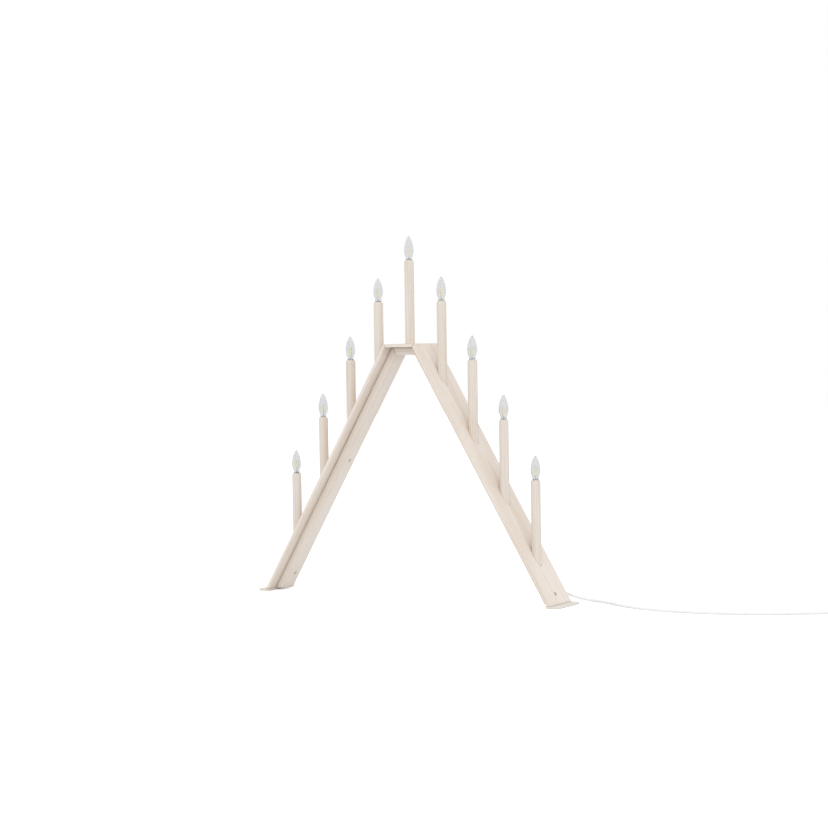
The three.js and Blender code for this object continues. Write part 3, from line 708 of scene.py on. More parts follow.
def painted_corner_shade():
    """A mask of painted shade that grows towards the corner between a board's lower face and its
    channel, and towards the mitre at the top, from a place along, across and into the wood"""
    tree, given = new_group("Painted corner shade", [
        ("Section", "Vector", None), ("Half Width", "Float", 0.014), ("Depth", "Float", 0.0048),
        ("Reach", "Float", 0.012), ("Mitre Reach", "Float", 0.02), ("Strength", "Float", 0.4),
    ], [("Corner", "Float")])
    along, across, through = parted(tree, given["Section"])
    aside = maths(tree, "SUBTRACT", maths(tree, "ABSOLUTE", across), given["Half Width"])
    below = maths(tree, "SUBTRACT", through, given["Depth"])
    near = between(tree, hypotenuse(tree, aside, below), 0, given["Reach"], 1, 0)
    down = maths(tree, "MULTIPLY_ADD", through, -MITRE, along)
    high = between(tree, down, 0, given["Mitre Reach"], 1, 0)
    under = maths(tree, "GREATER_THAN", through, maths(tree, "MULTIPLY", given["Depth"], 0.5))
    # Painted shade: strongest in the inner corner and at the mitre, on the lower faces only
    mask = maths(tree, "MULTIPLY", maths(tree, "ADD", near, high), under)
    node(tree, "NodeGroupOutput", {"Corner": maths(tree, "MULTIPLY", mask, given["Strength"])})
    return tree


def grouped(tree, build, name, inputs):
    """The outputs of a shared group, which is built once, in a material's tree"""
    group = bpy.data.node_groups.get(name) or build()
    return node(tree, "ShaderNodeGroup", inputs, node_tree=group).outputs


def opaque(colour):
    """A colour setting as the four numbers that a socket takes"""
    return (*colour, 1)


def new_material(name, colour):
    """A material with its tree and its Principled shader; the colour is for the plain view"""
    material = bpy.data.materials.new(name)
    material.use_nodes = True
    material.diffuse_color = opaque(colour)
    tree = material.node_tree
    return material, tree, tree.nodes["Principled BSDF"]


def finish_shader(shader, surface, bump_depth, constants):
    """Feeds a shader with a surface group's colour, roughness and bump, and plain values"""
    bump = node(shader.id_data, "ShaderNodeBump", {"Strength": 1, "Distance": bump_depth,
                                                   "Height": surface["Height"]})
    feed(shader, {"Base Color": surface["Color"], "Roughness": surface["Roughness"],
                  "Normal": bump.outputs[0], **constants})


def wood_material(name, wash, pith_depth, show_through, painted_shade_strength=0):
    """Whitewashed pine that follows the grain laid on each piece; boards and channels have a
    painted shade in the corner between them and at the mitres"""
    settings = bpy.context.scene.candlestick_wood
    material, tree, shader = new_material(name, wash)
    place = node(tree, "ShaderNodeAttribute", attribute_name="grain").outputs["Vector"]
    worn = node(tree, "ShaderNodeAttribute", attribute_name="worn").outputs["Fac"]
    figure = grouped(tree, pine_figure, "Pine figure", {
        "Place": place, "Ring Spacing": settings.ring_spacing, "Pith Depth": pith_depth,
        "Drift": 0.012,
    })
    inputs = {
        "Wash": opaque(wash), "Bare": opaque(settings.bare), "Worn": worn,
        "Show Through": show_through, "Corner Tone": opaque(settings.corner),
        **{name: figure[name] for name in ("Rings", "Fibres", "Clouds")},
    }
    # Painted shade towards the inner corners and the mitres
    if painted_shade_strength:
        section = node(tree, "ShaderNodeAttribute", attribute_name="section").outputs["Vector"]
        inputs["Corner"] = grouped(tree, painted_corner_shade, "Painted corner shade", {
            "Section": section, "Half Width": CHANNEL_WIDTH / 2 * MM, "Depth": CHANNEL_TOP * MM,
            "Reach": 0.012, "Strength": painted_shade_strength,
        })["Corner"]
    surface = grouped(tree, whitewash, "Whitewash", inputs)
    finish_shader(shader, surface, bump_depth=0.00012, constants={"Specular IOR Level": 0.32})
    return material


def solid_material(name, colour, build, group, inputs, bump_depth, constants):
    """A material with the same finish all over, from a shared surface group"""
    material, tree, shader = new_material(name, colour)
    place = node(tree, "ShaderNodeTexCoord").outputs["Object"]
    surface = grouped(tree, build, group, {"Place": place, "Color": opaque(colour), **inputs})
    finish_shader(shader, surface, bump_depth, constants)
    return material


def plastic_material(name, colour, roughness, dust=0.1, bump_depth=0.00002, shine=0):
    """Moulded plastic; shine is how much of its own colour it gives out as a painted glow"""
    glow = {"Emission Color": opaque(colour), "Emission Strength": shine} if shine else {}
    return solid_material(name, colour, moulded_surface, "Moulded surface",
                          {"Gloss Roughness": roughness, "Dust": dust}, bump_depth,
                          constants={"IOR": 1.46, **glow})


def metal_material(name, colour, tarnish, roughness):
    """Plated or plain metal"""
    return solid_material(name, colour, metal_surface, "Metal surface",
                          {"Gloss Roughness": roughness, "Tarnish": opaque(tarnish)},
                          bump_depth=0.000008, constants={"Metallic": 1})


def glass_material():
    """Clear thin glass, a little darker where it is seen on edge; lamps shine through it"""
    settings = bpy.context.scene.candlestick_bulb
    material, tree, shader = new_material("Clear bulb glass", settings.glass)
    edge = node(tree, "ShaderNodeLayerWeight", {"Blend": 0.3}).outputs["Facing"]
    tint = mixed(tree, between(tree, edge, 0.22, 0.85), opaque(settings.glass),
                 opaque(settings.glass_edge))
    feed(shader, {"Base Color": tint, "Transmission Weight": 1, "Roughness": 0.02, "IOR": 1.5})
    shadow = node(tree, "ShaderNodeLightPath").outputs["Is Shadow Ray"]
    clear = node(tree, "ShaderNodeBsdfTransparent", {"Color": (0.93, 0.93, 0.93, 1)})
    both = node(tree, "ShaderNodeMixShader", {0: shadow, 1: shader.outputs[0],
                                              2: clear.outputs[0]})
    feed(tree.nodes["Material Output"], {"Surface": both.outputs[0]})
    return material


def leg_point(along, deep):
    """A point on the right leg, down the slope and into the wood from its outer face"""
    return (TOP_HALF_LENGTH + along * RUN - deep * FALL, TOP_HEIGHT - along * FALL - deep * RUN)


def along_at_height(height, deep):
    """How far down the slope the layer at this depth reaches a height"""
    return (TOP_HEIGHT - deep * RUN - height) / FALL


def board_layer(shallow, deep, side):
    """Outline of a layer between two depths of a leg, or of the top where side is 0, mitred
    where boards meet and level at the foot"""
    if side == 0:
        (near, high), (far, low) = ((TOP_HALF_LENGTH - depth * MITRE - MITRE_GAP,
                                     TOP_HEIGHT - depth) for depth in (shallow, deep))
        return [(-near, high), (near, high), (far, low), (-far, low)]
    outline = [
        leg_point(shallow * MITRE, shallow),
        leg_point(along_at_height(FRAME_BOTTOM, shallow), shallow),
        leg_point(along_at_height(FRAME_BOTTOM, deep), deep),
        leg_point(deep * MITRE, deep),
    ]
    return [(side * x, z) for x, z in outline]


def lay_board_grain(obj, side, shift):
    """Lays the grain along a leg, or along the top where side is 0"""
    axes = ((side * RUN, 0, -FALL), (0, 1, 0), (-side * FALL, 0, -RUN))
    if side == 0:
        axes = ((1, 0, 0), (0, 1, 0), (0, 0, -1))
    lay_grain(obj, axes, (side * TOP_HALF_LENGTH, 0, TOP_HEIGHT), shift,
              0 if side else FAR_FROM_MITRE)


def candle_place(name):
    """The middle of a candle tube's upper end, in millimetres"""
    low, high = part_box(f"candle_tube_{name}")
    return (low.x + high.x) / 2 / MM, 0, high.z / MM


def side_of(name):
    """-1, 0 or 1 for a candle on the left leg, the top or the right leg"""
    return dict(SIDES).get(name.split("_")[0], 0)


def tube_holes(side):
    """Cutters for the upright holes that one board's tubes stand in"""
    outline = [(0, -TUBE_LENGTH), (TUBE_HOLE_RADIUS, -TUBE_LENGTH), (TUBE_HOLE_RADIUS, 0), (0, 0)]
    return [moved(turned(outline), candle_place(name)) for name in CANDLES
            if side_of(name) == side]


def into_leg(bm, side, along, deep, outwards):
    """Turns a piece that points down into one that points square into a leg from this place"""
    x, z = leg_point(along, deep)
    lean = SLOPE if outwards else SLOPE + math.pi
    bm.transform(Matrix.Translation((side * x, 0, z)) @ Matrix.Diagonal((side, 1, 1, 1))
                 @ Matrix.Rotation(lean, 4, "Y"))
    if side < 0:
        bmesh.ops.reverse_faces(bm, faces=bm.faces)
    return bm


def screw_places(side):
    """Each screw of a leg: its name, the CAD node it stands for, its length and its place"""
    name = "left" if side < 0 else "right"
    below = CHANNEL_BOTTOM + SCREW_PROUD
    lower = along_at_height(LOWER_SCREW_HEIGHT, CHANNEL_BOTTOM)
    return [
        (f"upper_screw_{name}", f"{name}_channel_screw_1", CHANNEL_SCREW_LENGTH,
         (side, UPPER_SCREW_ALONG, below, False)),
        (f"lower_screw_{name}", f"{name}_channel_screw_2", CHANNEL_SCREW_LENGTH,
         (side, lower, below, False)),
        (f"outer_screw_{name}", f"{name}_foot_screw", FOOT_SCREW_LENGTH,
         (side, along_at_height(FOOT_SCREW_HEIGHT, 0), -SCREW_PROUD, True)),
    ]


def screw_holes(side):
    """Cutters for the room that a leg's screws take"""
    head = SCREW_HEAD_RADIUS + SCREW_CLEARANCE
    shank = SCREW_SHANK_RADIUS + SCREW_CLEARANCE
    under = -SCREW_HEAD_HEIGHT - SCREW_CLEARANCE
    cutters = []
    for _, _, length, place in screw_places(side):
        end = -length - SCREW_CLEARANCE
        outline = [(0, 2), (head, 2), (head, under), (shank, under), (shank, end), (0, end)]
        cutters.append(into_leg(turned(outline, SLIM_SIDES), *place))
    return cutters


class CANDLESTICK_OT_stage(Operator):
    """Set up the camera, the lamps and the floor"""
    bl_idname = "candlestick.stage"
    bl_label = "Studio"

    def execute(self, context):
        scene = context.scene
        settings = scene.candlestick_studio
        away = Vector((math.sin(settings.azimuth) * math.cos(settings.elevation),
                       -math.cos(settings.azimuth) * math.cos(settings.elevation),
                       math.sin(settings.elevation)))
        lens = bpy.data.cameras.new("camera")
        lens.lens = settings.lens
        lens.sensor_width = SENSOR_WIDTH
        lens.shift_x, lens.shift_y = CAMERA_SHIFT
        scene.camera = self.aimed(scene, lens, Vector(VIEW_CENTRE) + away * settings.distance,
                                  -away, settings.roll)
        scene.view_settings.view_transform = "Standard"
        self.room(scene, settings)
        self.floor(settings)
        for name, place, share in LAMPS:
            light = bpy.data.lights.new(name, "AREA")
            light.shape = "DISK"
            light.size = LAMP_SIZE
            light.energy = settings.side_light * share
            self.aimed(scene, light, place, Vector(LAMP_AIM) - Vector(place))
        return {"FINISHED"}

    def aimed(self, scene, data, place, facing, roll=0):
        """A camera or lamp at a place that faces this way, turned by a roll about its view"""
        obj = bpy.data.objects.new(data.name, data)
        obj.location = place
        obj.rotation_mode = "QUATERNION"
        obj.rotation_quaternion = facing.to_track_quat("-Z", "Y") @ Quaternion((0, 0, 1), roll)
        scene.collection.objects.link(obj)
        return obj

    def rays(self, tree):
        """Masks of what the camera sees itself, and of what it sees in metal and glass"""
        path = node(tree, "ShaderNodeLightPath").outputs
        mirrored = maths(tree, "MAXIMUM", path["Is Glossy Ray"], path["Is Transmission Ray"])
        return path["Is Camera Ray"], mirrored

    def room(self, scene, settings):
        """Soft light all round, a little stronger from one side, that looks plain white"""
        world = bpy.data.worlds.new("room")
        scene.world = world
        world.use_nodes = True
        tree = world.node_tree
        tree.nodes.clear()
        direction = node(tree, "ShaderNodeTexCoord").outputs["Generated"]
        facing = node(tree, "ShaderNodeVectorMath", {0: direction, 1: BRIGHT_SIDE},
                      operation="DOT_PRODUCT").outputs["Value"]
        share = maths(tree, "MULTIPLY_ADD", facing, settings.room_slope, 1)
        light, white = (node(tree, "ShaderNodeBackground", {"Color": (1, 1, 1, 1),
                                                            "Strength": strength})
                        for strength in (maths(tree, "MULTIPLY", share, settings.room_light), 1))
        both = node(tree, "ShaderNodeMixShader", {0: maths(tree, "MAXIMUM", *self.rays(tree)),
                                                  1: light.outputs[0], 2: white.outputs[0]})
        node(tree, "ShaderNodeOutputWorld", {"Surface": both.outputs[0]})

    def floor(self, settings):
        """A wide plain floor that keeps the shadow and otherwise looks white"""
        material, tree, shader = new_material("Studio floor", settings.floor)
        feed(shader, {"Base Color": opaque(settings.floor), "Roughness": 1,
                      "Specular IOR Level": 0})
        seen, mirrored = self.rays(tree)
        lift = total(tree, (seen, FLOOR_LIFT), (mirrored, FLOOR_LIFT_IN_GLASS))
        glow = node(tree, "ShaderNodeEmission", {"Color": (1, 1, 1, 1), "Strength": lift})
        both = node(tree, "ShaderNodeAddShader", {0: shader.outputs[0], 1: glow.outputs[0]})
        feed(tree.nodes["Material Output"], {"Surface": both.outputs[0]})
        bm = bmesh.new()
        bmesh.ops.create_circle(bm, cap_ends=True, segments=FLOOR_SIDES,
                                 radius=FLOOR_RADIUS)
        floor = mesh_object("studio_floor", bm)
        floor.data.materials.append(material)


class CANDLESTICK_OT_cord(Operator):
    """Lay the cord from its gland to the plug, with its stored coil"""
    bl_idname = "candlestick.cord"
    bl_label = "Cord and plug"

    def execute(self, context):
        settings = context.scene.candlestick_cord
        sheath = plastic_material("White cord sheath", settings.sheath, roughness=0.42, dust=0.12)
        moulding = plastic_material("White plug moulding", settings.plug, roughness=0.36,
                                    dust=0.08, bump_depth=0.00003)
        plating = metal_material("Nickel-plated pins", settings.pin, tarnish=(0.4, 0.38, 0.34),
                                 roughness=0.16)
        path, centre, entry, heading = self.route()
        cord = piece("mains_cord", sweep(path, circle(CORD_RADIUS, CORD_SIDES)), [sheath],
                     ["cord", "cord_coil"])
        gland = piece("cord_gland_sleeve", self.gland(), [moulding], ["cord_gland"])
        strap = piece("coil_strap", self.strap(centre), [moulding], ["coil_tie"])
        plug = piece("mains_plug", moved(self.plug(), entry, heading), [moulding],
                     ["plug_body"])
        for number, sign in enumerate((-1, 1), 1):
            pin = moved(moved(self.pin(), (0, sign * PIN_SPACING / 2, 0)), entry, heading)
            piece(f"plug_pin_sleeved_{number}", pin, [plating, moulding],
                              [f"plug_pin_{number}"])
        return {"FINISHED"}

    def route(self):
        """The cord's whole path, the coil's centre, and where and how it enters the plug"""
        points = [Vector(point) / MM for point in CORD_ROUTE]
        inside = points[0] - Vector((0, CORD_IN_GLAND, 0))
        # Short steps, so that the last one has the curve's direction at its end
        ahead = curve_through(points[-3:], 400)
        heading = math.atan2(ahead[-1].y - ahead[-2].y, ahead[-1].x - ahead[-2].x)
        wound, centre = self.coil(points[-1], heading)
        leaving = heading - COIL_TURNS * 2 * math.pi
        tail = self.tail(wound[-1], leaving)
        return [inside, *curve_through(points, 8), *wound, *tail], centre, tail[-1], leaving

    def coil(self, last, heading):
        """The coil after the cord's last free point, in layers that are wound inwards and
        outwards in turn, and its centre"""
        level = Vector((math.cos(heading), math.sin(heading), 0))
        centre = last + level * COIL_START_GAP + COIL_OUTER_RADIUS * Vector((level.y, -level.x, 0))
        wound = []
        for step in range(round(COIL_TURNS * COIL_STEPS) + 1):
            done = step / COIL_STEPS
            layer = min(int(done / COIL_TURNS_PER_LAYER), COIL_LAYERS - 1)
            across = COIL_PITCH * (done - layer * COIL_TURNS_PER_LAYER)
            radius = COIL_INNER_RADIUS + across if layer % 2 else COIL_OUTER_RADIUS - across
            height = COIL_BASE
            for climb in range(1, COIL_LAYERS):
                share = (done - climb * COIL_TURNS_PER_LAYER) / COIL_CLIMB_TURNS + 0.5
                share = min(1, max(0, share))
                height += share * share * (3 - 2 * share) * COIL_LAYER_PITCH
            angle = heading + math.pi / 2 - done * 2 * math.pi
            wound.append(Vector((centre.x + radius * math.cos(angle),
                                 centre.y + radius * math.sin(angle), height)))
        return wound, centre

    def tail(self, start, heading):
        """The curve on which the cord leaves the coil and comes down to the plug"""
        ahead = Vector((math.cos(heading), math.sin(heading), 0))
        entry = start + ahead * COIL_TAIL_REACH
        entry.z = PLUG_THICKNESS / 2
        pulls = (start, start + ahead * COIL_TAIL_PULL, entry - ahead * COIL_TAIL_PULL, entry)
        found = []
        for step in range(1, COIL_TAIL_STEPS + 1):
            t = step / COIL_TAIL_STEPS
            weights = ((1 - t)**3, 3 * t * (1 - t)**2, 3 * t**2 * (1 - t), t**3)
            found.append(sum((w * pull for w, pull in zip(weights, pulls)), Vector()))
        return found

    def gland(self):
        """A flanged gland with a ribbed, tapered sleeve, drawn along Z from the wall's back"""
        profile = [(0, -9.4), (3.2, -9.4), (3.5, -9.1), (3.5, 0.3), (4.2, 0.3), (4.5, 0.55),
                   (4.5, 1.6), (4.25, 1.9), (3.5, 1.95)]
        for rib in range(7):
            z = 2.9 + rib * 2.15
            radius = 3.5 - (z - 1.9) / 16.6
            profile += [(radius, z - 0.35), (radius - 0.12, z), (radius - 0.55, z + 0.15),
                        (radius - 0.55, z + 0.75), (radius - 0.16, z + 0.9)]
        profile += [(2.62, 18.1), (2.45, 18.5), (2.12, 18.5), (2.05, 18.3), (2.05, 15.5),
                    (0, 15.5)]
        return moved(turned(profile, GLAND_SIDES), GLAND_PLACE, -math.pi / 2, "X")

    def strap(self, centre):
        """A flat strap round the coil's section with its end lapped over its start"""
        half = TIE_THICKNESS / 2
        clear = CORD_RADIUS + TIE_SLACK + half
        inner = COIL_INNER_RADIUS - clear
        outer = COIL_OUTER_RADIUS + clear
        top = COIL_BASE + (COIL_LAYERS - 1) * COIL_LAYER_PITCH + clear
        middle = (inner + outer) / 2
        bend = 1.6
        lap = top + TIE_THICKNESS + 0.02
        left, right, low, high = inner + bend, outer - bend, half + bend, top - bend
        loop = [(middle - 4, top)]
        for corner, start in (((right, high), 90), ((right, low), 0), ((left, low), -90),
                              ((left, high), 180)):
            loop += arc(corner, bend, start, start - 90, 6)
        loop += [(middle - 6.5, top), (middle - 4.2, lap), (middle + 4.5, lap)]
        thin, wide, ease = half - 0.02, TIE_WIDTH / 2, 0.15
        section = [(-thin + ease, -wide), (-thin, -wide + ease), (-thin, wide - ease),
                   (-thin + ease, wide), (thin - ease, wide), (thin, wide - ease),
                   (thin, -wide + ease), (thin - ease, -wide)]
        bm = sweep([Vector((u, 0, w)) for u, w in loop], section, Vector((0, 1, 0)))
        return moved(bm, centre, TIE_ANGLE)

    def plug(self):
        """A flat two-pin plug with a grooved sleeve, drawn along X from the cord's entry, through
        stations of (x, half width, half height, squareness)"""
        stations = [(0.3, 2.45, 2.45, 2), (0.6, 2.8, 2.8, 2)]
        for groove in range(5):
            x = 1.6 + groove * 2.3
            size = 2.85 + x * 0.09
            stations += [(x + ahead, size + more, size + more, 2) for ahead, more in
                         ((0, 0), (0.3, -0.5), (0.95, -0.46), (1.25, 0.1))]
        stations += [(13.0, 4.2, 4.2, 2), (13.5, 4.9, 4.8, 2.2), (14.3, 6.2, 5.9, 2.6),
                     (15.6, 7.2, 6.5, 3.2), (17.5, 7.6, 6.75, 3.8), (20, 8.3, 6.8, 4.4),
                     (23, 9.7, 6.8, 5), (26, 11.4, 6.8, 5.2), (29, 12.8, 6.8, 5.4)]
        for groove in range(3):
            x = 31 + groove * 3
            stations += [(x, 13.4, 6.8, 5.6), (x + 0.4, 13.4, 6.35, 5.6),
                         (x + 1.1, 13.4, 6.35, 5.6), (x + 1.5, 13.45, 6.8, 5.6)]
        stations += [(41, 13.5, 6.8, 5.6), (47.2, 13.5, 6.8, 5.6), (48.3, 13.3, 6.6, 5.4),
                     (49.0, 12.8, 6.1, 5.2), (49.3, 12.1, 5.5, 5)]
        return loft([[(x, u, v) for u, v in oval(wide, high, PLUG_SIDES, 2 / square, 2 / square)]
                     for x, wide, high, square in stations])

    def pin(self):
        """A round pin with an insulating sleeve over its first half, drawn along X"""
        metal = turned([(0, 45.9), (PIN_RADIUS, 45.9), (PIN_RADIUS, 49.3), (1.6, 49.4), (1.6, 59),
                        (1.9, 59.1), (PIN_RADIUS, 59.3), (PIN_RADIUS, 67.3), (1.85, 67.9),
                        (1.45, 68.2), (0.8, 68.3), (0, 68.3)], SLIM_SIDES)
        sleeve = turned([(1.61, 49.35), (1.86, 49.35), (1.9, 49.5), (1.9, 58.8), (1.8, 59.05),
                         (1.61, 59.05), (1.61, 49.35)], SLIM_SIDES)
        return moved(joined((metal, 0), (sleeve, 1)), (0, 0, 0), math.pi / 2, "Y")


class CANDLESTICK_OT_boards(Operator):
    """Make the three whitewashed boards with the holes for the candle tubes"""
    bl_idname = "candlestick.boards"
    bl_label = "Boards"

    def execute(self, context):
        settings = context.scene.candlestick_wood
        # The boards get a painted shade in the corners under them and at the mitres
        pine = wood_material("Whitewashed pine boards", settings.wash, pith_depth=0.038,
                             show_through=0.5, painted_shade_strength=0.4)
        for name, side in BOARDS:
            bm = slab(board_layer(0, BOARD_THICKNESS, side), BOARD_DEPTH)
            bm = round_edges(ease_under(bm, settings.under_round / MM), settings.edge_round / MM)
            board = piece(f"pine_board_{name}", bm, [pine],
                          [f"{name}_leg_board" if side else "top_board"],
                          cutters=tube_holes(side) + (screw_holes(side) if side else []))
            lay_board_grain(board, side, BOARD_STOCK[name])
        return {"FINISHED"}


class CANDLESTICK_OT_channels(Operator):
    """Make the grooved channels that carry the wires under the boards"""
    bl_idname = "candlestick.channels"
    bl_label = "Wire channels"

    def execute(self, context):
        settings = context.scene.candlestick_wood
        # The channels get a weaker painted shade in the corners beside the boards
        pine = wood_material("Whitewashed pine channels", settings.wash, pith_depth=0.07,
                             show_through=0.3, painted_shade_strength=0.15)
        for name, side in BOARDS:
            bm = slab(board_layer(CHANNEL_TOP, CHANNEL_BOTTOM, side), CHANNEL_WIDTH)
            cutters = [self.groove(side), *(screw_holes(side) if side else self.rebates())]
            if side > 0:
                cutters.append(self.gland_hole())
            channel = piece(f"pine_channel_{name}", round_edges(bm, settings.edge_round / MM),
                            [pine], [f"{name}_channel"], cutters=cutters)
            lay_board_grain(channel, side, CHANNEL_STOCK[name])
        return {"FINISHED"}

    def groove(self, side):
        """A cutter for the groove that the wires lie in"""
        deep = CHANNEL_TOP + GROOVE_DEPTH
        if side == 0:
            half, low = TOP_HALF_LENGTH, TOP_HEIGHT - deep
            return slab([(-half, TOP_HEIGHT), (half, TOP_HEIGHT), (half, low), (-half, low)],
                        GROOVE_WIDTH)
        end = along_at_height(0, 0)
        outline = [leg_point(-deep, 0), leg_point(end, 0), leg_point(end, deep),
                   leg_point(-deep, deep)]
        return slab([(side * x, z) for x, z in outline], GROOVE_WIDTH)

    def gland_hole(self):
        """A cutter for the hole in the right channel's side that the gland sits in"""
        hole = turned([(0, -10), (GLAND_HOLE_RADIUS, -10), (GLAND_HOLE_RADIUS, 8), (0, 8)],
                      GLAND_SIDES)
        return moved(hole, GLAND_PLACE, -math.pi / 2, "X")

    def rebates(self):
        """Cutters for the rebates along the top channel's two upper edges"""
        high, low = TOP_HEIGHT - CHANNEL_TOP + 1, TOP_HEIGHT - CHANNEL_TOP - REBATE_DEPTH
        outline = [(-60, high), (60, high), (60, low), (-60, low)]
        return [prism(outline, REBATE_START, 20, lambda x, z, y: (x, side * y, z))
                for side in (-1, 1)]


class CANDLESTICK_OT_feet(Operator):
    """Make the two flat plates that the legs stand on"""
    bl_idname = "candlestick.feet"
    bl_label = "Foot plates"

    def execute(self, context):
        settings = context.scene.candlestick_wood
        pine = wood_material("Whitewashed pine feet", settings.foot_wash, pith_depth=0.03,
                             show_through=0.35)
        inner = FOOT_X - FOOT_IN
        middle = FOOT_X + FOOT_OUT - FOOT_CORNER
        half = BOARD_DEPTH / 2
        outline = [(inner, -half), *arc((middle, -half + FOOT_CORNER), FOOT_CORNER, -90, 0, 10),
                   *arc((middle, half - FOOT_CORNER), FOOT_CORNER, 0, 90, 10), (inner, half)]
        for name, side in SIDES:
            plate = prism(outline, 0, FOOT_THICKNESS, lambda x, y, z: (side * x, y, z))
            foot = piece(f"pine_foot_{name}", round_edges(plate, settings.edge_round / MM * 0.8, 3),
                         [pine], [f"{name}_foot_plate"])
            lay_grain(foot, ((0, 1, 0), (side, 0, 0), (0, 0, 1)), (side * FOOT_X, 0, 0),
                      FOOT_STOCK[name])
        return {"FINISHED"}


class CANDLESTICK_OT_candles(Operator):
    """Turn the wooden candle tubes and stand them in the boards"""
    bl_idname = "candlestick.candles"
    bl_label = "Candle tubes"

    def execute(self, context):
        settings = context.scene.candlestick_wood
        pine = wood_material("Whitewashed candle tubes", settings.tube_wash, pith_depth=0.024,
                             show_through=0.55)
        drawn = np.random.default_rng(TUBE_SEED)
        for name in CANDLES:
            place = candle_place(name)
            side = side_of(name)
            stock = TUBE_LENGTH if side else place[2] - TOP_HEIGHT + BOARD_THICKNESS
            cutters = [self.under_board(side)] if side else []
            candle = piece(f"candle_{name}", moved(self.tube(stock), place), [pine],
                           [f"candle_tube_{name}"], cutters=cutters)
            shift = drawn.uniform(*TUBE_STOCK_RANGE)
            turn = drawn.uniform(0, 2 * math.pi)
            across = (math.cos(turn), math.sin(turn), 0)
            lay_grain(candle, ((0, 0, 1), across, (-across[1], across[0], 0)), place, shift)
        return {"FINISHED"}

    def under_board(self, side):
        """A cutter that takes off a tube's foot level with the lower face of its leg's board"""
        outline = [leg_point(along, deep) for along, deep in (
            (-300, BOARD_THICKNESS), (900, BOARD_THICKNESS), (900, 400), (-300, 400))]
        return slab([(side * x, z) for x, z in outline], BOARD_DEPTH)

    def tube(self, stock):
        """A tube from z = 0 at its top, with an eased shoulder, a wire bore and a socket bore"""
        rim = TUBE_RADIUS - TUBE_SHOULDER_RUN
        shoulder = [(TUBE_RADIUS - less, z) for less, z in (
            (0, -TUBE_SHOULDER_DROP), (0.03, -2.1), (0.1, -1.6), (0.22, -1.1), (0.38, -0.65),
            (0.52, -0.3))]
        return turned([
            (WIRE_BORE_RADIUS, -stock), (TUBE_RADIUS - 0.3, -stock), (TUBE_RADIUS, -stock + 0.3),
            *shoulder, (rim - 0.02, -0.06), (rim - 0.12, 0),
            (SOCKET_BORE_RADIUS + 0.08, 0), (SOCKET_BORE_RADIUS, -0.1),
            (SOCKET_BORE_RADIUS, -SOCKET_BORE_DEPTH), (WIRE_BORE_RADIUS, -SOCKET_BORE_DEPTH),
            (WIRE_BORE_RADIUS, -stock),
        ])


class CANDLESTICK_OT_sockets(Operator):
    """Make the threaded sockets in the tubes' ends"""
    bl_idname = "candlestick.sockets"
    bl_label = "Sockets"

    def execute(self, context):
        settings = context.scene.candlestick_bulb
        moulding = plastic_material("Pale socket moulding", settings.socket, roughness=0.38,
                                    dust=0.06)
        brass = metal_material("Brass socket contact", (0.84, 0.7, 0.46),
                               tarnish=(0.42, 0.3, 0.14), roughness=0.28)
        for name in CANDLES:
            bm = moved(joined((self.shell(), 0), (self.contact(), 1)), candle_place(name))
            piece(f"lamp_socket_{name}", bm, [moulding, brass], [f"socket_{name}"])
        return {"FINISHED"}

    def shell(self):
        """The moulded cup with its rim and thread"""
        low, high = SOCKET_RIM
        return turned([
            (0, SOCKET_BOTTOM), (5.3, SOCKET_BOTTOM), (SOCKET_RADIUS, SOCKET_BOTTOM + 0.3),
            (SOCKET_RADIUS, low), (SOCKET_RIM_RADIUS - 0.05, low), (SOCKET_RIM_RADIUS, low + 0.05),
            (SOCKET_RIM_RADIUS - 0.03, high - 0.1), (SOCKET_RIM_RADIUS - 0.14, high),
            (5.4, high), (SOCKET_INNER_RADIUS + 0.05, high - 0.1),
            *reversed(thread_rows(SOCKET_INNER_RADIUS, SOCKET_THREAD_LOW, 0.2)),
            (SOCKET_INNER_RADIUS, SOCKET_FLOOR), (0, SOCKET_FLOOR),
        ], ROUND_SIDES, thread(SOCKET_INNER_RADIUS, SOCKET_THREAD_LOW, 0))

    def contact(self):
        """The spring contact that the bulb's foot touches"""
        foot = SOCKET_FLOOR - 0.5
        return turned([(0, foot), (CONTACT_RADIUS, foot), (CONTACT_RADIUS, CONTACT_TOP - 0.3),
                       (1.3, CONTACT_TOP - 0.05), (0, CONTACT_TOP)], SLIM_SIDES)


